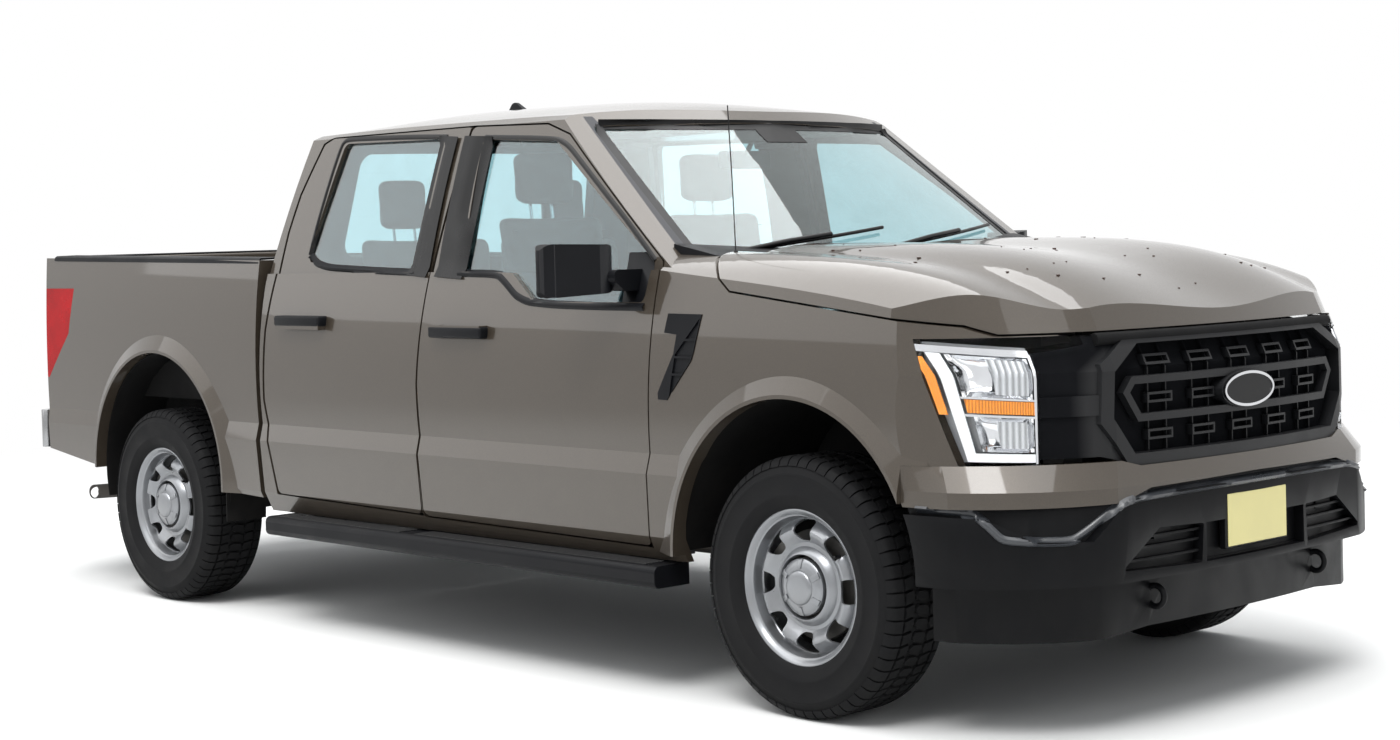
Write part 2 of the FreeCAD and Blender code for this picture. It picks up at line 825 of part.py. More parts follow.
def mirror_solid():
    """The left door mirror: a housing wide at its outer end, on a thick arm from the window's corner."""
    front = back(s.mirror_back)
    rear = back(s.mirror_back + s.mirror_depth)
    bulge = (front - rear) * 0.35
    plan = [(front, s.mirror_inner_half), (rear + bulge, s.mirror_half - s.mirror_round),
            (rear + bulge * 0.5, s.mirror_half), (rear, s.mirror_half - s.panel / 2), (rear, s.mirror_inner_half)]
    high = s.mirror_level + s.mirror_height
    housing = plan_prism(plan, s.mirror_level, high, s.mirror_round)
    shape = [(s.mirror_inner_half, s.mirror_level + s.mirror_drop), (s.mirror_half, s.mirror_level),
             (s.mirror_half, high), (s.mirror_inner_half, high - s.mirror_drop * 0.5)]
    housing = housing.common(front_prism(shape, rear, front, s.mirror_round))
    glass_place = front_prism([(s.mirror_inner_half + s.mirror_drop, s.mirror_level + s.mirror_drop),
                               (s.mirror_half - s.mirror_drop, s.mirror_level + s.mirror_drop),
                               (s.mirror_half - s.mirror_drop, high - s.mirror_drop),
                               (s.mirror_inner_half + s.mirror_drop, high - s.mirror_drop)],
                              rear, rear + s.glass, s.mirror_drop)
    housing = housing.cut(glass_place)
    arm_half = s.mirror_arm * 2
    middle = s.mirror_level + s.mirror_height * 0.3
    arm = front_prism([(s.window_sill_half - s.pillar / 2, middle - arm_half), (s.mirror_inner_half, middle - arm_half),
                       (s.mirror_inner_half + s.mirror_round, middle), (s.mirror_inner_half + s.mirror_round, middle + arm_half),
                       (s.window_sill_half - s.pillar / 2, middle + arm_half)],
                      back(s.mirror_root_back + s.mirror_depth * 0.35), back(s.mirror_root_back), s.mirror_arm)
    return fused([housing, mirror_sail, arm]).cut(front_door)


front_door = door(front_outline, front_window, None)
rear_door = door(rear_outline, rear_window, front_outline)
front_handle = handle(front_outline, s.front_handle_share)
rear_handle = handle(rear_outline, s.rear_handle_share)
piece("door_front_left", front_door.fuse(front_handle))
piece("door_front_right", mirrored(front_door.fuse(front_handle)))
piece("door_rear_left", rear_door.fuse(rear_handle))
piece("door_rear_right", mirrored(rear_door.fuse(rear_handle)))
front_pane = door_glass(front_window)
sail_place = box(back(s.mirror_back + s.mirror_depth * 0.4), back(s.door_front_back), 0, WIDE,
                 s.belt_level - s.mirror_depth, s.cowl_level + s.mirror_arm)
mirror_sail = front_pane.common(sail_place)
front_pane = front_pane.cut(sail_place)
rear_pane = door_glass(rear_window)
piece("glass_front_left", front_pane)
piece("glass_front_right", mirrored(front_pane))
piece("glass_rear_left", rear_pane)
piece("glass_rear_right", mirrored(rear_pane))
mirror = mirror_solid()
piece("mirror_left", mirror)
piece("mirror_right", mirrored(mirror))

# Cab

REAR_FACE = back(s.cab_rear_back)
FIREWALL = back(s.firewall_back)
ROOF_SPLIT = s.roof_split_level

shell_outer = glasshouse(0)
shell_inner = glasshouse(s.pillar)
ring = shell_outer.cut(shell_inner)
above_split = box(back(REACH), ahead(s.front_overhang), -WIDE, WIDE, ROOF_SPLIT, TALL)
roof_shell = shell_outer.cut(glasshouse(s.roof_skin)).common(above_split)


def screen_opening(margin):
    """The windscreen's opening seen from the front, drawn in from the pillars by a margin."""
    foot = s.screen_foot_half - margin
    head = s.screen_head_half - margin
    return [(-foot, s.belt_level - s.panel), (foot, s.belt_level - s.panel),
            (head, s.screen_head_level - margin * 0.6), (0, s.screen_head_level + s.screen_crown - margin * 0.6),
            (-head, s.screen_head_level - margin * 0.6)]


def rear_opening(margin):
    half = s.rear_screen_half - margin
    top = half * 0.94
    return [(-half, s.rear_screen_low_level + margin), (half, s.rear_screen_low_level + margin),
            (top, s.rear_screen_high_level - margin), (-top, s.rear_screen_high_level - margin)]


cab_middle = back((s.door_front_back + s.cab_rear_back) / 2)
windscreen_cut = front_prism(screen_opening(s.screen_margin), cab_middle, ahead(0), s.panel)
rear_cut = front_prism(rear_opening(0), back(REACH), cab_middle, s.pillar)
ring = ring.cut(above_split).cut(windscreen_cut).cut(rear_cut)

front_aperture = grown_prism(front_outline, s.panel_gap, 0, WIDE)
rear_aperture = grown_prism(rear_outline, s.panel_gap, 0, WIDE)
rear_upper_aperture = rear_aperture.copy()
rear_upper_aperture.translate(V(-(s.upper_gap - s.panel_gap), 0, 0))
rear_aperture = rear_aperture.fuse(rear_upper_aperture)
apertures = front_aperture.fuse(rear_aperture)

window_ring = glasshouse_block(s.frame_depth + s.running_gap, s.panel)
door_zone = box(back(REACH), ahead(s.front_overhang), 0, WIDE, 0, TALL).cut(window_ring)
ring_left = ring.common(box(back(REACH), ahead(s.front_overhang), 0, WIDE, 0, TALL))
ring_left = ring_left.cut(apertures.common(door_zone))
inner_front = grown_prism(front_window, s.aperture_lip, 0, WIDE)
inner_rear = grown_prism(rear_window, s.aperture_lip, 0, WIDE)
ring_left = ring_left.cut(inner_front).cut(inner_rear)

lower_shell = lower_body(0, REAR_FACE, FIREWALL, s.belt_half, s.belt_level)
lower_inner = tall_body(s.door_depth + s.running_gap + s.pillar, REAR_FACE + s.cab_wall, FIREWALL - s.cab_wall,
                        s.cab_wall)
lower_inner = lower_inner.common(box(REAR_FACE + s.cab_wall, FIREWALL - s.cab_wall, -WIDE, WIDE,
                                     s.cab_floor_level + s.cab_floor, TALL))
lower = lower_shell.cut(lower_inner)
lower = lower.cut(box(REAR_FACE, FIREWALL, -s.rocker_inner_half, s.rocker_inner_half, 0, s.cab_floor_level))
lower_left = lower.common(box(back(REACH), ahead(s.front_overhang), 0, WIDE, 0, TALL))
deep = tall_body(s.door_depth + s.running_gap, REAR_FACE, ahead(0), s.cab_wall)
lower_zone = box(back(REACH), ahead(s.front_overhang), 0, WIDE, 0, TALL).cut(deep)
lower_left = lower_left.cut(apertures.common(lower_zone))
below_belt = box(back(REACH), ahead(s.front_overhang), 0, WIDE, 0, s.belt_level)
ring_left = ring_left.cut(apertures.common(lower_zone).common(below_belt))


def foot_opening(outline, front_inset, rear_inset):
    """The part of a door's outline that opens into the cab, inside its posts and sill."""
    xs = [x for x, z in outline]
    return box(min(xs) + rear_inset, max(xs) - front_inset, 0, WIDE, s.cab_floor_level + s.cab_floor, s.belt_level + s.pillar)


front_foot = foot_opening(front_outline, s.front_post, s.middle_post)
rear_foot = foot_opening(rear_outline, s.middle_post, s.rear_post)
lower_left = lower_left.cut(front_foot).cut(rear_foot)
ring_left = ring_left.cut(front_foot).cut(rear_foot)
cab_left = lower_left.fuse(ring_left)
stops = []
stop_reach = tall_body(s.door_depth + s.seat_gap, REAR_FACE, ahead(0), s.cab_wall)
for outline, along_share in ((front_outline, s.stop_share), (rear_outline, s.stop_share)):
    x, z = stop_pin(outline, along_share, s.handle_up_share)
    face = s.waist_half - s.door_depth
    stop = Part.makeCylinder(s.stop_radius, s.pillar / 2, V(x, face - s.pillar / 2, z), V(0, 1, 0))
    stops.append(stop.common(stop_reach))
cab_left = fused([cab_left] + stops)
cab = cab_left.fuse(mirrored(cab_left)).removeSplitter()
floor_top = s.cab_floor_level + s.cab_floor
floor_zone = box(REAR_FACE, FIREWALL, -s.rocker_inner_half, s.rocker_inner_half, 0, floor_top)
firewall_zone = box(FIREWALL - s.cab_wall, FIREWALL, -s.rocker_inner_half, s.rocker_inner_half, floor_top, s.belt_level)
rear_zone = box(REAR_FACE, back(s.cab_rear_back - s.rear_glass_lean - s.header), -s.rear_screen_half - s.pillar,
                s.rear_screen_half + s.pillar, floor_top, ROOF_SPLIT)
header_zone = box(back(s.cab_rear_back - s.rear_glass_lean - s.header), FIREWALL, -s.screen_head_half + s.pillar, s.screen_head_half - s.pillar,
                  s.screen_foot_level, ROOF_SPLIT)
foot_zone = box(FIREWALL - s.cab_wall, ahead(0), -s.screen_foot_half + s.pillar * 2, s.screen_foot_half - s.pillar * 2,
                floor_top, TALL)
firewall_zone = firewall_zone.fuse(foot_zone)
rest = cab.cut(floor_zone).cut(firewall_zone).cut(rear_zone).cut(header_zone)
roof_shell = fused([roof_shell, cab.common(header_zone)])
piece("roof_panel", roof_shell)
FIN_SHARES = [(0.0, 0.0), (0.0, 0.30), (0.20, 0.97), (0.32, 1.0), (0.62, 0.62), (1.0, 0.30), (1.0, 0.0)]
fin_points = spread(FIN_SHARES, back(s.fin_back), back(s.fin_back - s.fin_length), s.roof_level - s.fin_height,
                    s.roof_level + s.fin_height)
fin_top = s.roof_level + s.fin_height
fin_taper = front_prism([(-s.fin_half, s.roof_level - s.fin_height), (s.fin_half, s.roof_level - s.fin_height),
                         (s.fin_half * 0.3, fin_top), (-s.fin_half * 0.3, fin_top)], back(REACH), cab_middle)
fin = side_prism(fin_points, -s.fin_half, s.fin_half, s.fin_half).common(fin_taper).cut(shell_outer)
fin = max(fin.Solids, key=lambda solid: solid.CenterOfMass.z)
piece("roof_fin", fin)
piece("cab_floor", cab.common(floor_zone))
piece("firewall", cab.common(firewall_zone))
piece("cab_rear", cab.common(rear_zone))
for name, side in (("left", 1), ("right", -1)):
    piece("cab_side_" + name, Part.makeCompound([solid for solid in rest.Solids if solid.CenterOfMass.y * side > 0]))

pane_block = glasshouse(s.glass_inset).cut(glasshouse(s.glass_inset + s.glass))
windscreen = pane_block.common(front_prism(screen_opening(s.screen_margin + s.seat_gap), cab_middle, ahead(0), s.panel))
rear_screen = pane_block.common(front_prism(rear_opening(s.seat_gap), back(REACH), cab_middle, s.pillar))
piece("cab_glass", Part.makeCompound([windscreen, rear_screen]))

cowl = side_prism([(back(s.hood_rear_back + s.panel_gap), s.cowl_level - s.cowl_depth),
                   (back(s.hood_rear_back + s.panel_gap), s.cowl_level),
                   (back(s.firewall_back), s.screen_foot_level + s.cowl_rise),
                   (back(s.firewall_back), s.cowl_level - s.cowl_depth)], -s.cowl_half, s.cowl_half)
cowl = cowl.cut(shell_outer).cut(cab).cut(windscreen)
cowl = cowl.Solids[0] if len(cowl.Solids) == 1 else max(cowl.Solids, key=lambda solid: solid.Volume)
piece("cowl_panel", cowl)

# Fenders and hood

# Along the hood, then the levels of its outer edge, shoulder side, shoulder, step, ridge and crown, as shares
HOOD_SHARES = [(-0.16, 0.50, 0.74, 0.99, 0.99, 1.02, 1.02), (0.0, 0.49, 0.68, 0.97, 0.97, 1.0, 1.0),
               (0.32, 0.38, 0.56, 0.89, 0.90, 0.95, 0.96), (0.64, 0.23, 0.39, 0.70, 0.75, 0.81, 0.83),
               (0.82, 0.10, 0.23, 0.46, 0.51, 0.57, 0.60), (0.92, -0.03, 0.10, 0.27, 0.32, 0.37, 0.40),
               (1.03, -0.20, -0.04, 0.08, 0.12, 0.15, 0.17)]
HOOD_WIDTH_SHARES = [1.0, 0.949, 0.816, 0.648, 0.588, 0.0]


def hood_section(along, shares, drop):
    """A filled section of the hood: its crowned top, lowered by a drop, closed down to a base level."""
    levels = [s.hood_nose_level + share * (s.hood_crown_level - s.hood_nose_level) - drop for share in shares]
    left = [V(along, width * s.hood_half, level) for width, level in zip(HOOD_WIDTH_SHARES, levels)]
    right = [V(point.x, -point.y, point.z) for point in left[:-1]]
    curve = Part.BSplineCurve()
    curve.interpolate(left + right[::-1])
    base_left = V(along, s.hood_half, s.hood_base_level)
    base_right = V(along, -s.hood_half, s.hood_base_level)
    sides = [Part.LineSegment(left[0], base_left), Part.LineSegment(base_left, base_right),
             Part.LineSegment(base_right, right[0])]
    return Part.Wire(Part.__sortEdges__([curve.toShape()] + [side.toShape() for side in sides]))


def dome(drop):
    """The space under the hood's and fenders' crowned top, lowered by a drop."""
    length = s.hood_front_ahead + s.hood_rear_back
    wires = [hood_section(back(s.hood_rear_back) + shares[0] * length, shares[1:], drop) for shares in HOOD_SHARES]
    return Part.makeLoft(wires, True, False)


seam = spread(HOOD_SEAM_SHARES, back(s.hood_rear_back), ahead(s.hood_front_ahead), s.seam_front_level, s.cowl_level)
body_outer = tall_body(0, back(s.cab_rear_back), ahead(s.front_overhang), 2 * s.pillar)
body_inner = tall_body(s.panel, back(s.cab_rear_back), ahead(s.front_overhang), 2 * s.pillar)
hood_tip = ahead(s.front_overhang)
hood_keep = side_prism(seam + [(hood_tip, seam[-1][1]), (hood_tip, TALL), (seam[0][0], TALL)], -WIDE, WIDE)
hood = dome(0).common(body_outer).common(nose_block(s.hood_setback)).common(hood_keep)
hood_hollow = dome(s.hood_skin).common(body_inner).common(nose_block(s.hood_setback + s.hood_lip))
hood = hood.cut(hood_hollow)
hood = max(hood.Solids, key=lambda solid: solid.Volume)
piece("hood", hood)

side_shell = body_outer.common(nose_block(0)).cut(body_inner.common(nose_block(s.panel)))
side_shell = side_shell.common(box(back(REACH), ahead(s.front_overhang), s.fender_inner_half, WIDE, 0, s.belt_level))
side_shell = side_shell.common(dome(0).fuse(box(back(REACH), ahead(s.front_overhang), 0, WIDE, 0, s.hood_base_level)))
crown_shell = dome(0).cut(dome(s.panel)).common(body_outer)
crown_shell = crown_shell.common(box(back(REACH), ahead(0), s.cowl_half, WIDE, s.waist_level, TALL))
skin_left = side_shell.fuse(crown_shell)
door_edge = [(x + s.panel_gap, z) for x, z in front_outline[:3]]
shoulder_top = spread([(0.0, 1.0)], door_edge[-1][0], 0, 0, s.hood_crown_level + s.panel)
fender_points = door_edge + shoulder_top + [(seam[0][0] - s.panel_gap, s.hood_crown_level + s.panel)]
fender_points += [(x - s.panel_gap * 0.5, z - s.panel_gap) for x, z in seam]
fender_points += [(ahead(s.nose_ahead), seam[-1][1] - s.panel_gap), (ahead(s.nose_ahead), s.lamp_bottom_level),
                  (ahead(s.bumper_end_ahead), s.lamp_bottom_level), (ahead(s.bumper_end_ahead), 0),
                  (door_edge[0][0], s.rocker_level)]
fender = skin_left.common(side_prism(fender_points, 0, WIDE))
fender = fender.fuse(flare(s.front_arch_radius, FRONT_ARCH, s.front_arch_level).common(
    side_prism(fender_points, 0, WIDE))).removeSplitter()
fender = fender.cut(arch_disc(s.front_arch_radius, FRONT_ARCH, s.front_arch_level, 0, WIDE))


# Radiator support, with the rubber stops that carry the closed hood

support_rear = ahead(s.support_ahead)
support_top = s.support_level
support_shapes = [box(support_rear, support_rear + s.member, -s.support_half, s.support_half,
                      support_top - s.member, support_top),
                  box(support_rear, support_rear + s.member / 2, -s.rail_half, s.rail_half,
                      s.rail_front_level + s.rail_height, support_top),
                  box(support_rear, ahead(s.support_lip_ahead), -s.nose_half + s.member, s.nose_half - s.member,
                      support_top, support_top + s.panel)]
for side in (-1, 1):
    y = side * s.rail_half
    support_shapes.append(box(support_rear, support_rear + s.member, y - s.rail_width / 2, y + s.rail_width / 2,
                              s.rail_front_level + s.rail_height, support_top))
    stop = Part.makeCylinder(s.stop_radius, s.member * 4, V(support_rear + s.member / 2, y, support_top - s.panel))
    stop = stop.cut(hood.translated(V(0, 0, -s.seat_gap)))
    support_shapes.append(min(stop.Solids, key=lambda solid: solid.CenterOfMass.z))
piece("radiator_support", fused(support_shapes))


def lamp_zone(gap):
    """The headlamp's block: its front outline crossed with its raked side edge."""
    inner = s.lamp_inner_half - gap
    front = [(inner, s.lamp_bottom_level - gap), (WIDE, s.lamp_bottom_level - gap), (WIDE, s.lamp_top_level + gap),
             (s.lamp_tip_half - gap, s.lamp_top_level + gap), (s.lamp_tip_half - gap, s.lamp_tip_level - gap),
             (inner, s.lamp_tip_level - s.lamp_depth * 0.3)]
    side = [(ahead(s.lamp_heel_ahead - gap), s.lamp_bottom_level - gap), (ahead(s.nose_ahead), s.lamp_bottom_level - gap),
            (ahead(s.nose_ahead), s.lamp_top_level + gap), (ahead(s.lamp_crown_ahead - gap), s.lamp_top_level + gap)]
    return front_prism(front, 0, ahead(s.nose_ahead)).common(side_prism(side, 0, WIDE))


VENT_SHARES = [(0.0, 1.0), (0.816, 0.993), (0.674, 0.567), (0.616, 0.459), (0.037, 0.0), (-0.179, 0.004),
               (-0.184, 0.081), (0.016, 0.322), (0.189, 0.537), (0.242, 0.759), (-0.063, 0.778)]
vent_points = spread(VENT_SHARES, back(s.vent_back), back(s.vent_back - s.vent_length), s.vent_level,
                     s.vent_level + s.vent_height)
vent_seat = tall_body(s.panel * 0.4, back(s.door_front_back), ahead(0), s.pillar)
vent_face = tall_body(-s.vent_rise, back(s.door_front_back), ahead(0), s.pillar)
vent = vent_face.cut(vent_seat).common(side_prism(vent_points, 0, WIDE))
slat_zone = tall_body(s.vent_rise, back(s.door_front_back), ahead(0), s.pillar)
slat_points = spread(VENT_SHARES[1:5] + VENT_SHARES[8:9], back(s.vent_back) + s.vent_inset,
                     back(s.vent_back - s.vent_length) - s.vent_inset, s.vent_level + s.vent_inset,
                     s.vent_level + s.vent_height - s.vent_inset)
slats = side_prism(slat_points, 0, WIDE).cut(slat_zone)
for up in (0.3, 0.5, 0.7):
    level = s.vent_level + up * s.vent_height
    slats = slats.cut(box(back(s.door_front_back), ahead(0), 0, WIDE, level - s.mesh_rib / 2, level + s.mesh_rib / 2))
vent = vent.cut(slats)
vent = max(vent.Solids, key=lambda solid: solid.Volume)
piece("fender_vents", both(vent))
fender = fender.cut(side_prism(vent_points, 0, WIDE).cut(vent_seat))
fender = fender.cut(lamp_zone(s.seat_gap)).cut(cab)
fender = max(fender.Solids, key=lambda solid: solid.Volume)
piece("fenders", both(fender))
lamp_band = nose_block(0).cut(nose_block(s.lamp_depth)).common(body_outer)
lamp = lamp_band.common(lamp_zone(0))
piece("headlamps", both(lamp))

# Grille

grille_band = nose_block(0).cut(nose_block(s.grille_depth))
MASK_SHARES = [(0.0, 0.0), (0.64, 0.0), (0.79, 0.085), (1.0, 0.085), (1.0, 1.0), (0.0, 1.0)]
OPENING_SHARES = [(0.0, 0.09), (0.655, 0.09), (0.755, 0.37), (0.748, 0.73), (0.59, 0.93), (0.0, 0.93)]
RING_SHARES = [(0.0, 0.33), (0.62, 0.33), (0.695, 0.56), (0.65, 0.68), (0.0, 0.68)]


def mask_outline(shares, inset):
    """A symmetrical front outline from its left half's shares of the grille's half width and height."""
    height = s.grille_top_level - s.grille_bottom_level
    left = [(across * (s.lamp_inner_half - inset) / 1.0, s.grille_bottom_level + up * height) for across, up in shares]
    right = [(-across, level) for across, level in reversed(left) if across]
    return [point for point in left if point[0]] + right


def scaled_outline(points, inset):
    """An outline drawn in on all sides by an inset."""
    face = Part.Face(Part.makePolygon([V(0, y, z) for y, z in points + points[:1]]))
    wire = face.OuterWire.makeOffset2D(-inset, 2)
    return Part.Face(wire)


def face_prism(points, inset, rear, front):
    face = scaled_outline(points, inset)
    face.translate(V(rear, 0, 0))
    return face.extrude(V(front - rear, 0, 0))


nose_rear = ahead(0)
nose_front = ahead(s.nose_ahead)
wing_band = nose_block(s.grille_step).cut(nose_block(s.grille_depth))
mask_face = face_prism(mask_outline(MASK_SHARES, 0), s.seat_gap, nose_rear, nose_front)
rim_face = face_prism(mask_outline(OPENING_SHARES, 0), -s.grille_rim, nose_rear, nose_front)
bar_face = box(nose_rear, nose_front, -WIDE, WIDE, s.badge_level - s.grille_rim, s.badge_level + s.grille_rim * 0.5)
bar_band = nose_block(s.grille_step / 2).cut(nose_block(s.grille_depth))
mask = fused([wing_band.common(mask_face), grille_band.common(mask_face).common(rim_face),
              bar_band.common(mask_face).common(bar_face)])
mask = mask.cut(both(lamp_zone(s.seat_gap)))
mask = mask.cut(face_prism(mask_outline(OPENING_SHARES, 0), 0, nose_rear, nose_front))
ring_band = nose_block(s.ring_bar * 0.5).cut(nose_block(s.ring_bar * 1.6))
ring_outline = mask_outline(RING_SHARES, 0)
ring_solid = ring_band.common(face_prism(ring_outline, 0, nose_rear, nose_front).cut(
    face_prism(ring_outline, s.ring_bar, nose_rear, nose_front)))
rib_band = nose_block(s.ring_bar * 1.5).cut(nose_block(s.ring_bar * 2))
opening = face_prism(mask_outline(OPENING_SHARES, 0), -s.mesh_rib, nose_rear, nose_front)
ribs = []
for index in range(5):
    for offset in (-0.36, 0.36):
        y = (index - 2) * s.pill_pitch + offset * s.pill_half * 2
        ribs.append(box(nose_rear, nose_front, y - s.mesh_rib / 3, y + s.mesh_rib / 3,
                        s.grille_bottom_level, s.grille_top_level))
rib_solid = rib_band.common(Part.makeCompound(ribs)).common(opening)
bar_rows = []
for share in (0.22, 0.505, 0.80):
    level = s.grille_bottom_level + share * (s.grille_top_level - s.grille_bottom_level)
    for index in range(5):
        if share == 0.505 and index == 2:
            continue
        y = (index - 2) * s.pill_pitch
        slot = box(nose_rear, nose_front, y - s.pill_half, y + s.pill_half, level - s.pill_half_height,
                   level + s.pill_half_height)
        hole = box(nose_rear, nose_front, y - s.pill_half + s.mesh_rib, y + s.pill_half - s.mesh_rib,
                   level - s.pill_half_height + s.mesh_rib, level + s.pill_half_height - s.mesh_rib)
        bar_rows.append(slot.cut(hole))
pill_solid = nose_block(s.ring_bar).cut(nose_block(s.ring_bar * 2)).common(Part.makeCompound(bar_rows))
badge_wire = Part.Ellipse(V(ahead(s.nose_ahead - s.ring_bar * 2), 0, s.badge_level), s.badge_half, s.badge_half_height).toShape()
badge_wire.rotate(V(ahead(s.nose_ahead - s.ring_bar * 2), 0, s.badge_level), V(0, 0, 1), 90)
badge_wire.rotate(V(ahead(s.nose_ahead - s.ring_bar * 2), 0, s.badge_level), V(0, 1, 0), 90)
badge = Part.Face(Part.Wire([badge_wire])).extrude(V(s.ring_bar * 2, 0, 0))
back_band = nose_block(s.grille_depth - s.mesh_rib).cut(nose_block(s.grille_depth + s.mesh_rib))
shutter = back_band.common(face_prism(mask_outline(OPENING_SHARES, 0), -s.ring_bar, nose_rear, nose_front))
grille = mask.multiFuse([ring_solid, rib_solid, pill_solid, badge, shutter])
grille = max(grille.Solids, key=lambda solid: solid.Volume)
piece("grille", grille)

# Bumper and its painted cover

COVER_LOW_SHARES = [(0.0, 1.0), (0.48, 0.85), (0.60, 0.1), (1.1, 0.0)]


def cover_low(gap):
    """The seam between the painted cover and the bumper, as (y, z) points of the left half."""
    span = s.cover_centre_level - s.cover_split_level
    return [(across * s.bumper_end_half, s.cover_split_level + up * span + gap) for across, up in COVER_LOW_SHARES]


cover_band = cover_block(0).cut(cover_block(s.cover_depth))
left_low = cover_low(s.seat_gap)
outline = [(y, z) for y, z in reversed(left_low)][:-1] + [(0, left_low[0][1])] + [(-y, z) for y, z in left_low[1:]]
outline = outline + [(-WIDE / 2, s.lamp_bottom_level - s.seat_gap), (WIDE / 2, s.lamp_bottom_level - s.seat_gap)]
cover = cover_band.common(front_prism(outline, ahead(s.bumper_end_ahead) + s.seat_gap, ahead(s.front_overhang)))
cover = cover.cut(grille).cut(face_prism(mask_outline(MASK_SHARES, 0), 0, nose_rear, ahead(s.front_overhang)))
cover = cover.cut(both(lamp_zone(s.seat_gap))).cut(both(fender))
cover = cover.cut(both(arch_disc(s.front_arch_radius, FRONT_ARCH, s.front_arch_level, 0, WIDE)))
cover = max(cover.Solids, key=lambda solid: solid.Volume)

BUMPER_TOP_SHARES = [(0.0, 1.0), (0.50, 0.96), (0.60, 0.88), (0.70, 0.0), (0.84, 0.05), (0.93, 0.62), (1.1, 0.72)]
bumper_band = bumper_plan(0, 0, TALL).cut(bumper_plan(s.bumper_depth, 0, TALL))
span = s.bumper_top_level - s.bumper_dip_level
left_top = [(across * s.bumper_end_half, s.bumper_dip_level + up * span) for across, up in BUMPER_TOP_SHARES]
outline = [(-WIDE / 2, s.bumper_bottom_level), (WIDE / 2, s.bumper_bottom_level)]
outline += list(reversed(left_top)) + [(-y, z) for y, z in left_top[1:]]
bumper = bumper_band.common(front_prism(outline, ahead(s.bumper_end_ahead) + s.seat_gap, ahead(s.front_overhang)))
recess_band = bumper_plan(s.bumper_recess, 0, TALL).cut(bumper_plan(s.bumper_depth, 0, TALL))
left_low = cover_low(-s.seat_gap)
outline = [(-WIDE / 2, s.bumper_bottom_level + s.panel), (WIDE / 2, s.bumper_bottom_level + s.panel)]
outline += list(reversed(left_low)) + [(-y, z) for y, z in left_low[1:]]
recess = recess_band.common(front_prism(outline, ahead(s.bumper_end_ahead) + s.seat_gap, ahead(s.front_overhang)))
POCKET_SHARES = [(0.429, 1.0), (0.743, 1.06), (1.0, 0.10), (0.444, 0.0)]
pocket_points = spread(POCKET_SHARES, 0, s.intake_half, s.intake_low_level, s.intake_high_level)
pocket = front_prism(pocket_points, nose_rear, ahead(s.front_overhang), s.mesh_rib)
plate_place = box(nose_rear, ahead(s.front_overhang), -s.intake_half * 0.41, s.intake_half * 0.41, s.intake_low_level,
                  s.intake_high_level)
pocket_band = bumper_plan(0, 0, TALL).cut(bumper_plan(s.pocket_depth, 0, TALL))
bumper_solid = bumper.fuse(recess).cut(pocket_band.common(both(pocket).fuse(plate_place)))
pocket_bars = []
for up in (0.3, 0.6, 0.85):
    level = s.intake_low_level + up * (s.intake_high_level - s.intake_low_level)
    pocket_bars.append(box(nose_rear, ahead(s.front_overhang), -s.intake_half, s.intake_half, level - s.mesh_rib / 2,
                           level + s.mesh_rib / 2))
bar_layer = bumper_plan(s.mesh_rib * 2, 0, TALL).cut(bumper_plan(s.pocket_depth + s.mesh_rib, 0, TALL))
bumper_solid = bumper_solid.fuse(bar_layer.common(both(pocket)).common(Part.makeCompound(pocket_bars)))
dam_band = bumper_plan(s.dam_setback, 0, TALL).cut(bumper_plan(s.dam_setback + s.dam_depth, 0, TALL))
dam_outline = [(-WIDE / 2, s.bumper_bottom_level + s.panel), (WIDE / 2, s.bumper_bottom_level + s.panel),
               (WIDE / 2, s.dam_bottom_level), (s.bumper_half, s.dam_bottom_level), (s.intake_half * 0.7, s.dam_centre_level),
               (-s.intake_half * 0.7, s.dam_centre_level), (-s.bumper_half, s.dam_bottom_level), (-WIDE / 2, s.dam_bottom_level)]
dam = dam_band.common(front_prism(dam_outline, ahead(s.bumper_end_ahead) + s.seat_gap, ahead(s.front_overhang)))
shelf = bumper_plan(s.bumper_recess, 0, TALL).cut(bumper_plan(s.dam_setback + s.dam_depth, 0, TALL)).common(
    box(ahead(s.bumper_end_ahead) + s.seat_gap, ahead(s.front_overhang), -WIDE, WIDE, s.bumper_bottom_level,
        s.bumper_bottom_level + s.panel))
bumper_solid = fused([bumper_solid, dam, shelf])
bumper_solid = bumper_solid.cut(both(arch_disc(s.front_arch_radius, FRONT_ARCH, s.front_arch_level, 0, WIDE)))
for bracket_side in (-1, 1):
    y = bracket_side * s.rail_half
    bumper_solid = bumper_solid.fuse(box(ahead(s.rail_front_ahead), ahead(s.front_overhang - s.bumper_depth * 0.7),
                                         y - s.rail_width / 2, y + s.rail_width / 2,
                                         s.rail_front_level, s.rail_front_level + s.bumper_depth))
    hook = Part.makeTorus(s.hook_radius, s.hook_grip, V(ahead(s.front_overhang - s.dam_setback), y, s.hook_level), V(0, 1, 0))
    bumper_solid = bumper_solid.fuse(hook)
bumper_solid = bumper_solid.removeSplitter()
bumper_solid = max(bumper_solid.Solids, key=lambda solid: solid.Volume)
piece("front_bumper", bumper_solid)
cover = cover.cut(bumper_solid)
cover = max(cover.Solids, key=lambda solid: solid.Volume)
piece("bumper_cover", cover)

# Bed

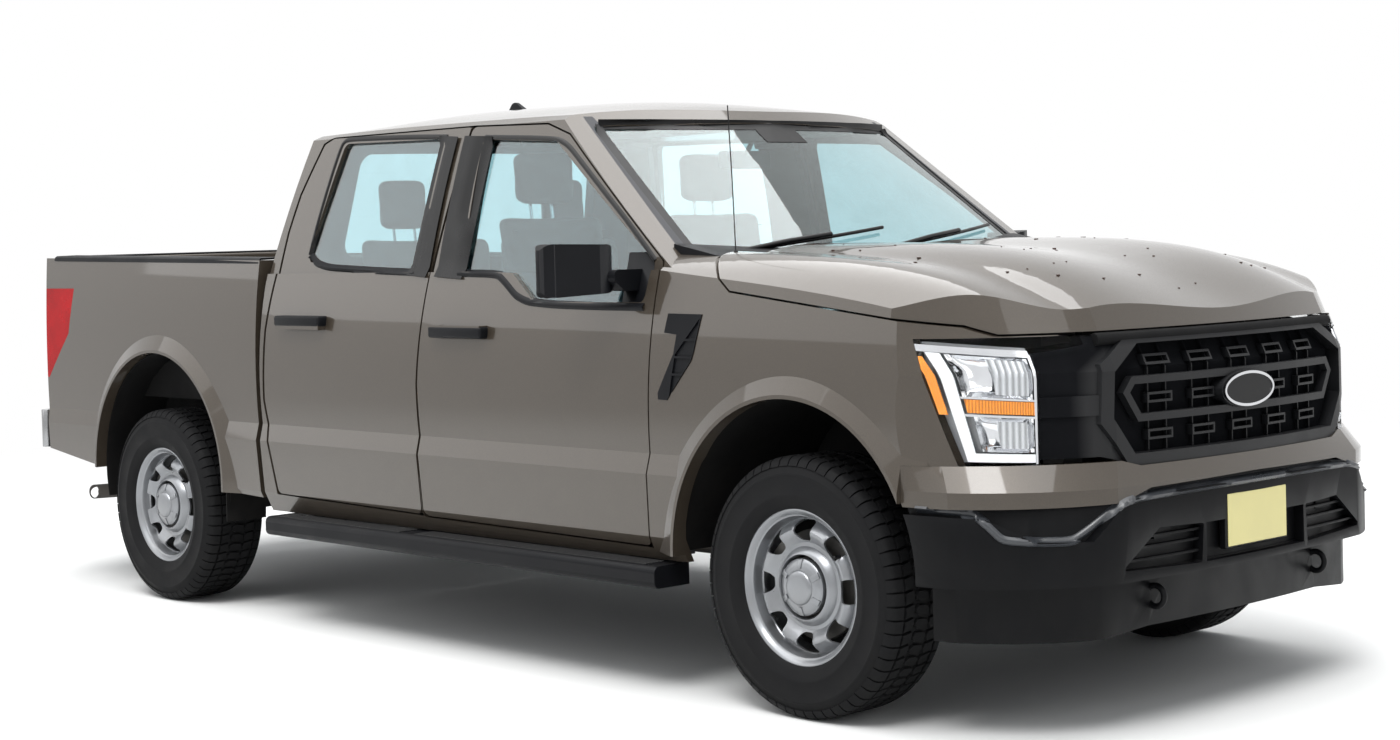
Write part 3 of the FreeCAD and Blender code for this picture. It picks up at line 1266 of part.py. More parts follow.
BED_FRONT = back(s.bed_front_back)
BED_REAR = back(s.bed_rear_back)
bed_outer = lower_body(0, BED_REAR, BED_FRONT, s.bed_rail_half, s.bed_rail_level)
side_points = [(BED_FRONT, s.bed_bottom_level - s.panel), (BED_FRONT, s.bed_rail_front_level),
               (BED_REAR, s.bed_rail_level), (BED_REAR, s.tail_lamp_low_level - s.bed_drop),
               (REAR_ARCH - s.rear_arch_radius, s.bed_bottom_level + s.panel)]
bed_side = bed_outer.common(side_prism(side_points, s.bed_inner_half, WIDE))
bed_side = bed_side.fuse(flare(s.rear_arch_radius, REAR_ARCH, s.rear_arch_level).common(side_prism(side_points, 0, WIDE)))
house = Part.makeCylinder(s.rear_arch_radius + s.wheelhouse_wall * 2, s.bed_inner_half - s.wheelhouse_half,
                          V(REAR_ARCH, s.wheelhouse_half, s.rear_arch_level), V(0, 1, 0))
house = house.common(box(back(REACH), ahead(0), 0, WIDE, s.bed_floor_level - s.bed_floor, s.wheelhouse_top_level))
bed_side = fused([bed_side, house])
corner = s.bed_corner
corner_plan = [(BED_REAR, s.bed_inner_half), (BED_REAR, s.flare_half - corner * 1.2), (BED_REAR + corner * 0.25, s.flare_half - corner * 0.65),
               (BED_REAR + corner, s.flare_half), (BED_FRONT, s.flare_half), (BED_FRONT, 0), (BED_REAR, 0)]
corner_block = plan_prism(corner_plan, 0, TALL)
bed_side = bed_side.common(corner_block)
cavity = arch_disc(s.rear_arch_radius, REAR_ARCH, s.rear_arch_level, s.wheelhouse_half + s.wheelhouse_wall, WIDE)
cavity_top = box(back(REACH), ahead(0), 0, s.waist_half - s.panel, 0, s.wheelhouse_top_level - s.wheelhouse_wall)
mouth = arch_disc(s.rear_arch_radius, REAR_ARCH, s.rear_arch_level, s.waist_half - s.panel, WIDE)
bed_side = bed_side.cut(cavity.common(cavity_top)).cut(mouth)


def lamp_block(gap):
    """The rear lamp's place at the bed side's rear corner, with a slanted front edge."""
    length = s.tail_lamp_length
    points = [(BED_REAR - s.panel, s.tail_lamp_low_level - gap), (BED_REAR - s.panel, s.tail_lamp_high_level + gap),
              (BED_REAR + length + gap, s.tail_lamp_high_level + gap),
              (BED_REAR + length * 0.9 + gap, s.tail_lamp_high_level * 0.5 + s.tail_lamp_low_level * 0.5),
              (BED_REAR + length * 0.35 + gap, s.tail_lamp_low_level - gap)]
    inner = s.tail_lamp_half - gap
    wedge = side_prism(points, inner, WIDE)
    return wedge


tail_block = bed_outer.common(side_prism([(BED_REAR, 0), (BED_FRONT, 0), (BED_FRONT, TALL), (BED_REAR, TALL)], 0, WIDE))
tail_lamp = tail_block.common(lamp_block(0)).common(corner_block)
bed_side = bed_side.cut(lamp_block(s.seat_gap))
pin_level = s.tailgate_bottom_level + s.tailgate_depth / 2
pin_x = BED_REAR + s.tailgate_depth / 2 + s.panel_gap
pin_end = V(pin_x, s.bed_inner_half + s.panel, pin_level)
bed_side = bed_side.cut(rod(V(pin_x, s.tailgate_half, pin_level), V(pin_x, pin_end.y + s.seat_gap, pin_level),
                            s.trunnion + s.spindle_gap))
jamb = box(BED_REAR + s.panel_gap, BED_REAR + s.tailgate_depth * 2.5, s.tailgate_half + s.panel_gap, s.bed_inner_half,
           s.tailgate_bottom_level, s.bed_rail_level - s.panel)
jamb = jamb.cut(rod(V(pin_x, s.tailgate_half, pin_level), V(pin_x, pin_end.y, pin_level), s.trunnion + s.spindle_gap))
bed_side = fused([bed_side, jamb])
bed_side = max(bed_side.Solids, key=lambda solid: solid.Volume)
piece("bed_sides", both(bed_side))
piece("tail_lamps", both(tail_lamp))

floor_front = BED_FRONT
floor_rear = BED_REAR + s.tailgate_depth + 2 * s.panel_gap
floor = box(floor_rear, floor_front, -s.bed_inner_half, s.bed_inner_half, s.bed_floor_level - s.bed_floor, s.bed_floor_level)
ribs = [box(floor_rear, floor_front - s.bed_wall, y - s.bed_rib, y + s.bed_rib, s.bed_floor_level, s.bed_floor_level + s.bed_rib / 3)
        for y in [(index - 4.5) * s.bed_rib * 4.5 for index in range(10)]]
wall = box(floor_front - s.bed_wall, floor_front, -s.bed_inner_half, s.bed_inner_half, s.bed_floor_level - s.bed_floor,
           s.bed_rail_front_level)
sills = [box(x - s.member / 2, x + s.member / 2, -s.bed_inner_half, s.bed_inner_half, s.rail_rear_level + s.rail_height,
             s.bed_floor_level - s.bed_floor)
         for x in (floor_front - s.member, (floor_front + REAR_ARCH) / 2 + s.member * 3, REAR_ARCH - s.rear_arch_radius - s.member, floor_rear + s.member)]
bed = fused([floor, wall] + ribs + sills)
bed = bed.cut(both(bed_side))
piece("bed_floor", bed)

gate = side_prism([(BED_REAR, s.tailgate_bottom_level + s.panel), (BED_REAR + s.tailgate_depth * 0.2, s.tailgate_bottom_level),
                   (BED_REAR + s.tailgate_depth, s.tailgate_bottom_level + s.panel_gap),
                   (BED_REAR + s.tailgate_depth, s.tailgate_top_level),
                   (BED_REAR + s.tailgate_depth * 0.1, s.tailgate_top_level)], -s.tailgate_half, s.tailgate_half, s.bed_rib)
gate = fused([gate, rod(V(pin_x, s.tailgate_half - s.panel, pin_level), pin_end, s.trunnion),
              rod(V(pin_x, -s.tailgate_half + s.panel, pin_level), V(pin_x, -pin_end.y, pin_level), s.trunnion)])
piece("tailgate", gate)

# Rear bumper

rear_face = back(s.wheelbase + s.rear_overhang)
half = s.rear_bumper_half
rear_plan = [(rear_face + s.rear_bumper_depth, -half), (rear_face + s.rear_bumper_depth, half),
             (rear_face + s.rear_bumper_depth * 0.7, half), (rear_face, half * 0.62), (rear_face, -half * 0.62),
             (rear_face + s.rear_bumper_depth * 0.7, -half)]
rear_bumper = plan_prism(rear_plan, s.rear_bumper_low_level, s.rear_bumper_top_level, s.panel * 2)
rear_bumper = rear_bumper.cut(box(rear_face + s.panel, rear_face + s.rear_bumper_depth + s.panel, -half + s.panel, half - s.panel,
                                  0, s.rear_bumper_top_level - s.panel))
rear_bumper = rear_bumper.cut(box(rear_face - s.panel, rear_face + s.panel, -s.plate_half, s.plate_half,
                                  s.rear_bumper_low_level + s.panel, s.rear_bumper_top_level - s.panel * 1.5))
plate_pocket = box(rear_face + s.panel * 0.7, rear_face + s.panel * 1.4, -s.plate_half - s.panel, s.plate_half + s.panel,
                   s.rear_bumper_low_level + s.panel / 2, s.rear_bumper_top_level - s.panel / 2)
rear_bumper = rear_bumper.fuse(plate_pocket)
ball_place = V(rear_face + s.rear_bumper_depth / 2, 0, s.rear_bumper_top_level - s.panel * 2)
rear_bumper = rear_bumper.cut(Part.makeCylinder(s.ball_hole, s.panel * 3, ball_place))
for side in (-1, 1):
    y = side * s.rail_half
    rear_bumper = rear_bumper.fuse(box(rear_face + s.panel * 0.8, back(s.rail_rear_back), y - s.rail_width / 2, y + s.rail_width / 2,
                                       s.rail_rear_level, s.rear_bumper_top_level - s.panel * 0.5))
piece("rear_bumper", rear_bumper.removeSplitter())

# Ladder frame

RAIL_SHARES = [(0.0, 1.0), (0.20, 1.0), (0.257, 0.0), (0.668, 0.0), (0.705, 2.0), (1.0, 2.0)]


def rail_level(share):
    if share < 1.5:
        return s.rail_mid_level + share * (s.rail_front_level - s.rail_mid_level)
    return s.rail_rear_level


rail_length = s.rail_front_ahead + s.rail_rear_back
top_line = []
low_line = []
for along, up in RAIL_SHARES:
    x = ahead(s.rail_front_ahead) - along * rail_length
    low_line.append((x, rail_level(up)))
    top_line.append((x, rail_level(up) + s.rail_height))
rail = side_prism(low_line + top_line[::-1], s.rail_half - s.rail_width / 2, s.rail_half + s.rail_width / 2)
members = []
for along, level in ((0.035, s.rail_front_level), (0.20, s.rail_front_level), (0.31, s.rail_mid_level), (0.405, s.rail_mid_level),
                     (0.50, s.rail_mid_level), (0.595, s.rail_mid_level), (0.70, s.rail_rear_level), (0.79, s.rail_rear_level),
                     (0.9188, s.rail_rear_level), (0.98, s.rail_rear_level)):
    x = ahead(s.rail_front_ahead) - along * rail_length
    members.append(box(x - s.member / 2, x + s.member / 2, -s.rail_half, s.rail_half, level + s.member_drop,
                       level + s.member_drop + s.member))
arms = []
for along in (back(s.firewall_back + s.member * 2), back(s.post_back), back(s.cab_rear_back - s.member * 2)):
    arms.append(box(along - s.member / 2, along + s.member / 2, s.rail_half, s.rocker_inner_half, s.rail_mid_level + s.member_drop,
                    s.cab_floor_level))
perches = []
for x in (ahead(s.front_arch_radius * 0.16), back(s.front_arch_radius * 0.16)):
    perches.append(box(x - s.member / 2, x + s.member / 2, -s.rail_half, s.rail_half, s.arm_level - s.member / 2, s.arm_level + s.member / 2))
drops = [box(x - s.member / 2, x + s.member / 2, s.rail_half - s.rail_width / 2, s.rail_half, s.arm_level - s.member / 2, s.rail_front_level)
         for x in (ahead(s.front_arch_radius * 0.16), back(s.front_arch_radius * 0.16))]
frame_left = [rail] + arms + drops
frame = fused(frame_left + [mirrored(shape) for shape in frame_left] + members + perches)
piece("frame", frame)

# Axles and suspension

WHEEL_LEVEL = s.tyre_radius


def knuckle(label, side):
    """A knuckle of bound cylinders: an upright kingpin, a hub flange and the spindle that the rim turns on."""
    outwards = FreeCAD.Rotation(V(1, 0, 0), -90 * side)
    sign = "" if side > 0 else "-"
    start = "%skingpin_half" % sign
    post = bound_rod(label + "_post", (FRONT_AXLE_EXPRESSION, start, "kingpin_low_level"),
                     "kingpin_top_level - kingpin_low_level", "kingpin", FreeCAD.Rotation())
    hub = bound_rod(label + "_spindle", (FRONT_AXLE_EXPRESSION, start, "tyre_radius"),
                    "half_track + hub_face - disc_wall * 2 - kingpin_half", "spindle", outwards)
    flange = bound_rod(label + "_flange", (FRONT_AXLE_EXPRESSION, "%s(kingpin_half + kingpin / 2)" % sign, "tyre_radius"),
                       "half_track + hub_face - disc_wall * 2 - hub_inset - kingpin_half - kingpin / 2", "hub_radius",
                       outwards)
    return bound_fusion(label, [post, hub, flange])


knuckle("knuckle_left", 1)
knuckle("knuckle_right", -1)


def wishbone(level, root_half):
    """A left wishbone: a triangle from two pivots on the frame to an eye at the kingpin."""
    tip = s.kingpin
    points = [(FRONT_AXLE - s.arm_spread, s.rail_half + s.rail_width / 2), (FRONT_AXLE + s.arm_spread, s.rail_half + s.rail_width / 2),
              (FRONT_AXLE + tip, s.kingpin_half), (FRONT_AXLE - tip, s.kingpin_half)]
    plate = plan_prism(points, level - s.arm_height / 2, level + s.arm_height / 2)
    eye = Part.makeCylinder(tip, s.arm_height, V(FRONT_AXLE, s.kingpin_half, level - s.arm_height / 2))
    window = [(FRONT_AXLE - s.arm_spread * 0.5, s.rail_half + s.rail_width), (FRONT_AXLE + s.arm_spread * 0.5, s.rail_half + s.rail_width),
              (FRONT_AXLE, s.kingpin_half - s.kingpin * 3)]
    return plate.fuse(eye).cut(plan_prism(window, level - s.arm_height, level + s.arm_height))


low_arm = wishbone(s.kingpin_low_level - s.seat_gap - s.arm_height / 2, 0)
high_arm = wishbone(s.kingpin_top_level + s.seat_gap + s.arm_height / 2, 0)
low_bush = box(FRONT_AXLE - s.arm_spread, FRONT_AXLE + s.arm_spread, s.rail_half - s.rail_width / 2, s.rail_half + s.rail_width / 2 + s.arm_height,
               s.kingpin_low_level - s.seat_gap - s.arm_height, s.kingpin_low_level + s.arm_height)
front_left = [low_arm, high_arm, low_bush]
suspension = fused(front_left + [mirrored(shape) for shape in front_left])
suspension = suspension.cut(frame)
suspension = Part.makeCompound([solid for solid in suspension.Solids if solid.Volume > s.member ** 3 / 20])
piece("front_suspension", suspension)

hub_end = s.half_track + s.hub_face - s.disc_wall * 2
tube = rod(V(REAR_AXLE, -s.half_track, WHEEL_LEVEL), V(REAR_AXLE, s.half_track, WHEEL_LEVEL), s.axle_tube)
flanges = [rod(V(REAR_AXLE, side * s.kingpin_half, WHEEL_LEVEL), V(REAR_AXLE, side * (hub_end - s.hub_inset), WHEEL_LEVEL), s.hub_radius) for side in (-1, 1)]
spindles = [rod(V(REAR_AXLE, side * s.kingpin_half, WHEEL_LEVEL), V(REAR_AXLE, side * hub_end, WHEEL_LEVEL), s.spindle) for side in (-1, 1)]
case = Part.makeSphere(s.diff_radius, V(REAR_AXLE, 0, WHEEL_LEVEL))
springs = []
for side in (-1, 1):
    y = side * s.spring_half
    low = WHEEL_LEVEL + s.axle_tube
    arc_points = [V(REAR_AXLE + s.spring_reach, y, low + s.spring_rise), V(REAR_AXLE, y, low), V(REAR_AXLE - s.spring_reach, y, low + s.spring_rise)]
    low_arc = Part.Arc(*arc_points).toShape()
    high_arc = Part.Arc(*[point + V(0, 0, s.spring_stack) for point in arc_points]).toShape()
    ends = [Part.LineSegment(arc_points[index], arc_points[index] + V(0, 0, s.spring_stack)).toShape() for index in (0, 2)]
    leaf = Part.Face(Part.Wire(Part.__sortEdges__([low_arc, high_arc] + ends))).extrude(V(0, side * s.spring_width, 0))
    springs.append(leaf)
    springs.append(box(REAR_AXLE - s.member, REAR_AXLE + s.member, min(y, y + side * s.spring_width), max(y, y + side * s.spring_width), WHEEL_LEVEL, low + s.spring_stack))
    for reach in (-1, 1):
        x = REAR_AXLE + reach * (s.spring_reach - s.spring_stack)
        springs.append(box(x - s.spring_stack, x + s.spring_stack, min(side * (s.rail_half + s.rail_width / 2), side * (s.spring_half + s.spring_width)),
                           max(side * (s.rail_half + s.rail_width / 2), side * (s.spring_half + s.spring_width)), low + s.spring_rise * 0.9, s.rail_rear_level + s.rail_height / 2))
rear_axle = fused([tube, case] + flanges + spindles + springs)
rear_axle = rear_axle.cut(frame)
piece("rear_axle", max(rear_axle.Solids, key=lambda solid: solid.Volume))

# Wheels


def ring_solid_of(points, centre):
    """A solid turned about the wheel's axle from (radius, across) points."""
    wire = Part.makePolygon([V(centre.x, centre.y + across, centre.z + radius) for radius, across in points + points[:1]])
    return Part.Face(wire).revolve(centre, V(0, 1, 0), 360)


TYRE_SHARES = [(0.32, -0.46), (0.60, -0.5), (0.90, -0.45), (0.985, -0.37), (1.0, -0.2), (1.0, 0.2),
               (0.985, 0.37), (0.90, 0.45), (0.60, 0.5), (0.32, 0.46)]


def tyre_profile():
    """The tyre's section as (radius, across) expressions: tread, sidewalls and the seat on the rim."""
    tread = [("bead_radius + %g * (tyre_radius - bead_radius)" % up, "%g * tyre_width" % across)
             for up, across in TYRE_SHARES]
    left = [("rim_radius", "rim_width / 2"), ("rim_radius", "rim_width / 2 - rim_wall"),
            ("bead_radius", "rim_width / 2 - rim_wall")]
    right = [(radius, "0 - (%s)" % across) for radius, across in reversed(left)]
    return right + tread + left


def rim(centre):
    """A left steel wheel: a barrel with flanges and a dished disc with eight windows."""
    half = s.rim_width / 2
    bead = s.bead_radius
    wall = s.rim_wall
    barrel = [(bead - wall, -half), (s.rim_radius, -half), (s.rim_radius, -half + wall), (bead, -half + wall),
              (bead, half - wall), (s.rim_radius, half - wall), (s.rim_radius, half), (bead - wall, half)]
    face = s.hub_face
    disc = [(s.spindle + s.spindle_gap, face - s.disc_wall * 2), (s.hub_radius, face - s.disc_wall * 2), (bead * 0.50, face - s.disc_wall),
            (bead * 0.55, face - s.disc_wall * 0.4), (bead * 0.80, face), (bead - wall, face - s.disc_wall * 2), (bead - wall, face - s.disc_wall * 0.4),
            (bead * 0.82, face + s.disc_wall), (bead * 0.55, face + s.disc_wall * 0.6), (bead * 0.46, face + s.disc_wall * 0.2),
            (bead * 0.42, face + s.disc_wall * 2.2), (s.spindle * 0.5, face + s.disc_wall * 2.6), (0, face + s.disc_wall * 2.6),
            (0, face - s.disc_wall), (s.spindle + s.spindle_gap, face - s.disc_wall)]
    solid = ring_solid_of(barrel, centre).fuse(ring_solid_of(disc, centre)).removeSplitter()
    low = bead * 0.60
    high = bead * 0.88
    hole = [V(centre.x - low * 0.25, centre.y, centre.z + low), V(centre.x + low * 0.25, centre.y, centre.z + low),
            V(centre.x + high * 0.27, centre.y, centre.z + high), V(centre.x - high * 0.27, centre.y, centre.z + high)]
    hole = Part.Face(rounded(hole, s.rim_wall * 2.2)).extrude(V(0, s.rim_width / 2, 0))
    for index in range(8):
        window = hole.copy()
        window.rotate(centre, V(0, 1, 0), 45 * index + 22.5)
        solid = solid.cut(window)
    return solid


rear_centre = V(REAR_AXLE, s.half_track, WHEEL_LEVEL)
rear_rim = rim(rear_centre)
for name, reach in (("front", s.wheelbase), ("rear", 0)):
    rim_solid = rear_rim.translated(V(reach, 0, 0))
    along = FRONT_AXLE_EXPRESSION if reach else FRONT_AXLE_EXPRESSION + " - wheelbase"
    for side, across in (("left", "half_track"), ("right", "0 - half_track")):
        turned_body("tyre_%s_%s" % (name, side), (along, across, "tyre_radius"), tyre_profile())
    piece("rim_%s_left" % name, rim_solid)
    piece("rim_%s_right" % name, mirrored(rim_solid))

# Spare wheel under the bed
spare_centre = V(back(s.spare_back), 0, s.spare_level)
doc.recompute()
spare = doc.getObject("tyre_rear_left").Shape.translated(spare_centre - rear_centre)
plate = rod(spare_centre - V(0, s.disc_wall, 0), spare_centre + V(0, s.disc_wall, 0), s.bead_radius + s.rim_wall)
spare = spare.fuse(plate)
spare.rotate(spare_centre, V(1, 0, 0), 90)
hanger = rod(spare_centre, V(spare_centre.x, 0, s.rail_rear_level + s.member_drop), s.kingpin * 0.5)
spare = spare.fuse(hanger).removeSplitter()
piece("spare_wheel", spare)

# Liners, powertrain, tank and exhaust

liner_ring = Part.makeCylinder(s.front_arch_radius + s.liner * 2, s.waist_half - s.panel - s.rail_half, V(FRONT_ARCH, s.rail_half, s.front_arch_level), V(0, 1, 0))
liner_hole = Part.makeCylinder(s.front_arch_radius + s.liner, s.waist_half, V(FRONT_ARCH, s.rail_half + s.liner, s.front_arch_level), V(0, 1, 0))
liner = liner_ring.cut(liner_hole).common(box(back(s.firewall_back), ahead(s.front_overhang), 0, WIDE, s.rail_front_level + s.rail_height, TALL))
arch_rear = Part.makeCylinder(s.front_arch_radius + s.liner * 2, s.waist_half - s.panel - s.rocker_inner_half * 0.7, V(FRONT_ARCH, s.rocker_inner_half * 0.7, s.front_arch_level), V(0, 1, 0))
arch_rear = arch_rear.cut(liner_hole).common(box(back(s.firewall_back), FRONT_ARCH, 0, WIDE, s.front_arch_level, s.rail_front_level + s.rail_height))
liner = liner.fuse(arch_rear).removeSplitter()
liner = liner.cut(fender).cut(lamp).cut(cab).cut(cover)
piece("wheel_liners", both(max(liner.Solids, key=lambda solid: solid.Volume)))

engine = box(back(s.firewall_back - s.member), ahead(s.engine_ahead), -s.engine_half, s.engine_half, s.rail_front_level + s.member_drop + s.member, s.engine_top_level)
gearbox = rod(V(back(s.firewall_back + s.gearbox_length), 0, s.gearbox_level), V(back(s.firewall_back - s.member * 2), 0, s.gearbox_level), s.gearbox_radius)
sump = box(back(s.firewall_back - s.member), ahead(0) - s.member * 2.2, -s.gearbox_radius, s.gearbox_radius, s.gearbox_level - s.gearbox_radius, s.rail_front_level + s.member_drop + s.member)
shaft = rod(V(back(s.firewall_back + s.gearbox_length), 0, s.gearbox_level), V(REAR_AXLE + s.diff_radius * 0.9, 0, WHEEL_LEVEL + s.kingpin), s.kingpin)
drive = fused([engine, gearbox, sump, shaft]).cut(frame).cut(rear_axle).cut(suspension).cut(cab)
piece("powertrain", max(drive.Solids, key=lambda solid: solid.Volume))

tank = box(back(s.tank_rear_back), back(s.tank_front_back), s.rail_half + s.rail_width / 2 + s.seat_gap, s.tank_half, s.tank_level, s.tank_level + s.tank_height)
piece("fuel_tank", tank.makeFillet(s.panel, [edge for edge in tank.Edges if edge.BoundBox.XLength > s.tank_height]).cut(frame))

EXHAUST_SHARES = [(0.0, 0.0, 0.0), (0.532, 0.0, 0.0), (0.623, 0.1, 1.0), (0.745, 0.1, 1.0), (0.812, 0.46, 0.79),
                  (0.934, 0.46, 0.32), (0.963, 0.9, 0.12), (1.0, 1.0, 0.06)]
exhaust_run = s.exhaust_tip_back - s.exhaust_start_back
bends = [V(back(s.exhaust_start_back + along * exhaust_run),
           -s.exhaust_half - across * (s.exhaust_tip_half - s.exhaust_half),
           s.exhaust_level + up * s.exhaust_rise) for along, across, up in EXHAUST_SHARES]
exhaust_shapes = [rod(start, end, s.exhaust_pipe) for start, end in zip(bends, bends[1:])]
exhaust_shapes += [Part.makeSphere(s.exhaust_pipe, bend) for bend in bends[1:-1]]
exhaust_shapes.append(rod(V(back(s.cab_rear_back - s.muffler_length), -s.exhaust_half, s.exhaust_level),
                          V(back(s.cab_rear_back - s.pillar), -s.exhaust_half, s.exhaust_level), s.muffler_radius))
hanger_places = ((back(s.cab_rear_back - s.muffler_length * 0.67), -s.exhaust_half, s.rail_mid_level + s.member_drop),
                 (bends[5].x, bends[5].y, s.rail_rear_level + s.member_drop))
for x, y, level in hanger_places:
    exhaust_shapes.append(box(x - s.panel / 2, x + s.panel / 2, y - s.panel / 2, y + s.panel * 1.5, s.exhaust_level, level))
exhaust = fused(exhaust_shapes).cut(frame).cut(rear_axle)
exhaust = exhaust.cut(rod(bends[-1] - V(s.panel, 0, 0), bends[-1] + V(s.pillar, 0, 0), s.exhaust_pipe - s.glass))
piece("exhaust", max(exhaust.Solids, key=lambda solid: solid.Volume))

# Steps

step = box(back(s.step_rear_back), back(s.step_front_back), s.step_inner_half, s.step_half, s.step_level - s.step_depth, s.step_level)
step = step.makeFillet(s.step_depth * 0.3, [edge for edge in step.Edges if edge.BoundBox.XLength > s.step_depth and edge.CenterOfMass.y > s.step_inner_half + s.panel])
brackets = [box(back(distance) - s.member / 2, back(distance) + s.member / 2, s.rocker_inner_half + s.panel, s.step_inner_half + s.panel,
                s.step_level - s.step_depth * 0.6, s.rocker_level)
            for distance in (s.firewall_back + s.member * 2, s.post_back, s.cab_rear_back - s.member * 4)]
piece("side_steps", both(fused([step] + brackets)))

# Cabin

def seat(x_front, y_right, y_left, back_level, headrests):
    """A soft seat: cushion, leaning backrest and headrests joined in one block."""
    length = s.seat_length
    points = [(x_front, s.cushion_level), (x_front, s.cushion_level + s.cushion), (x_front - length, s.cushion_level + s.cushion * 0.8),
              (x_front - length - s.backrest * 0.7, back_level), (x_front - length - s.backrest * 1.7, back_level),
              (x_front - length - s.backrest, s.cushion_level)]
    shapes = [side_prism(points, y_right, y_left, s.cushion * 0.3)]
    for y in headrests:
        top = [(x_front - length - s.backrest * 0.8, back_level - s.cushion * 0.1), (x_front - length - s.backrest * 0.9, back_level + s.headrest),
               (x_front - length - s.backrest * 1.6, back_level + s.headrest), (x_front - length - s.backrest * 1.5, back_level - s.cushion * 0.1)]
        shapes.append(side_prism(top, y - s.headrest_half, y + s.headrest_half, s.cushion * 0.15))
    shapes.append(box(x_front - length, x_front - s.cushion, y_right + s.cushion * 0.5, y_left - s.cushion * 0.5,
                      s.cab_floor_level + s.cab_floor, s.cushion_level + s.seat_gap))
    return fused(shapes)


middle = (s.seat_half + s.console_half) / 2
driver = seat(back(s.front_cushion_back), s.console_half, s.seat_half, s.front_backrest_level, [middle])
bench = seat(back(s.rear_cushion_back), -s.seat_half, s.seat_half, s.rear_backrest_level, [-middle, middle])
bench = bench.cut(cab)
piece("seats", Part.makeCompound([driver, mirrored(driver), max(bench.Solids, key=lambda solid: solid.Volume)]))

dash = side_prism([(back(s.firewall_back + s.cab_wall), s.dash_foot_level), (back(s.firewall_back + s.cab_wall), s.dash_level + s.panel),
                   (back(s.dash_back + s.dash_depth * 0.5), s.dash_level + s.panel), (back(s.dash_back + s.dash_depth), s.dash_level - s.dash_depth * 0.3),
                   (back(s.dash_back + s.dash_depth * 0.7), s.dash_foot_level)], -s.dash_half, s.dash_half, s.panel)
wheel_centre = V(back(s.steering_back), s.steering_half, s.steering_level)
column_axis = V(math.cos(math.radians(s.column_rake)), 0, -math.sin(math.radians(s.column_rake)))
column = rod(wheel_centre + column_axis * s.steering_grip * 2, wheel_centre + column_axis * s.dash_depth, s.steering_grip * 2)
dash = dash.cut(cab)
dash = max(dash.Solids, key=lambda solid: solid.Volume)
steering = Part.makeTorus(s.steering_radius, s.steering_grip, wheel_centre, column_axis)
boss = rod(wheel_centre - column_axis * s.steering_grip, wheel_centre + column_axis * s.steering_grip * 2, s.steering_radius * 0.34)
spokes = []
for turn in (0, 120, 240):
    spoke = box(wheel_centre.x - s.steering_grip * 0.6, wheel_centre.x + s.steering_grip * 0.6, wheel_centre.y - s.steering_grip, wheel_centre.y + s.steering_grip,
                wheel_centre.z - s.steering_radius, wheel_centre.z)
    spoke.rotate(wheel_centre, V(1, 0, 0), turn)
    spoke.rotate(wheel_centre, V(0, 1, 0), s.column_rake)
    spokes.append(spoke)
steering = fused([steering, boss, column] + spokes).cut(dash)
piece("steering_wheel", max(steering.Solids, key=lambda solid: solid.Volume))
piece("dashboard", fused([dash]))


doc.recompute()
os.makedirs("parts", exist_ok=True)
inner = {used.Name for feature in doc.Objects for used in feature.OutList}
for feature in doc.Objects:
    if {"Invalid", "Error"} & set(feature.State):
        raise RuntimeError("failed feature: " + feature.Label)
for feature in doc.Objects:
    if feature.isDerivedFrom("Spreadsheet::Sheet") or feature.Name in inner:
        continue
    shape = feature.Shape
    if shape.isNull() or not shape.isValid():
        raise RuntimeError("bad shape: " + feature.Label)
    shape.exportStep("parts/%s.step" % feature.Label)
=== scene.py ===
import json
import math
import random

import bmesh
import bpy
from mathutils import Euler, Matrix, Vector


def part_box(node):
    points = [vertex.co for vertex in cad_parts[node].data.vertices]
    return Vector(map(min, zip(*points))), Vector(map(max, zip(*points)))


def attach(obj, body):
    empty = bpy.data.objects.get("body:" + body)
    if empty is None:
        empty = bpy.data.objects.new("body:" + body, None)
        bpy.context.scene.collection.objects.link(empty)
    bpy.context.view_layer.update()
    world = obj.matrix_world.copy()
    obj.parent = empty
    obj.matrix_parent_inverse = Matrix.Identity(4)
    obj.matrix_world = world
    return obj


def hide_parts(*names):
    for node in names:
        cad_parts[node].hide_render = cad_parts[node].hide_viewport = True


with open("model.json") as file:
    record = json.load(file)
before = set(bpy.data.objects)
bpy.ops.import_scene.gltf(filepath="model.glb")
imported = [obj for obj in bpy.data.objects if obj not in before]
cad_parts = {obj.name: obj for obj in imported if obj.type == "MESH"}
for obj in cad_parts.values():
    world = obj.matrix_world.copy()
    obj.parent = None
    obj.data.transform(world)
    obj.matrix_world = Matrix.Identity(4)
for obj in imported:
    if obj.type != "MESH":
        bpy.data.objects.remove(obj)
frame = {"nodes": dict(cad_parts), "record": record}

bl_info = {
    "name": "Pickup truck looks",
    "version": (1, 0, 0),
    "blender": (4, 5, 0),
    "location": "View3D > Sidebar > Truck",
    "description": "Dresses the packed pickup truck with finishes, tyres, lamps, trim and seats",
    "category": "Object",
}

NODES = frame["nodes"]
SLOT_OF = {part["node"]: part["material_slot"] for part in frame["record"]["subparts"]}
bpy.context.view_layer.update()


def middle_of(node):
    """The middle of a CAD node's box."""
    low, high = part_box(node)
    return (low + high) / 2


AXLE = middle_of("tyre_front_left").x
REAR_AXLE = middle_of("tyre_rear_left").x
TRACK = middle_of("tyre_front_left").y
WHEEL_LEVEL = middle_of("tyre_front_left").z
TYRE_HALF = (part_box("tyre_front_left")[1].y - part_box("tyre_front_left")[0].y) / 2
SIDES = (("left", 1), ("right", -1))
WHEELS = tuple((axle, side, sign, Vector((x, sign * TRACK, WHEEL_LEVEL)))
               for axle, x in (("front", AXLE), ("rear", REAR_AXLE)) for side, sign in SIDES)
# Points nearer than this are merged
SAME_POINT = 0.00002


# Sizes and colours a user may change

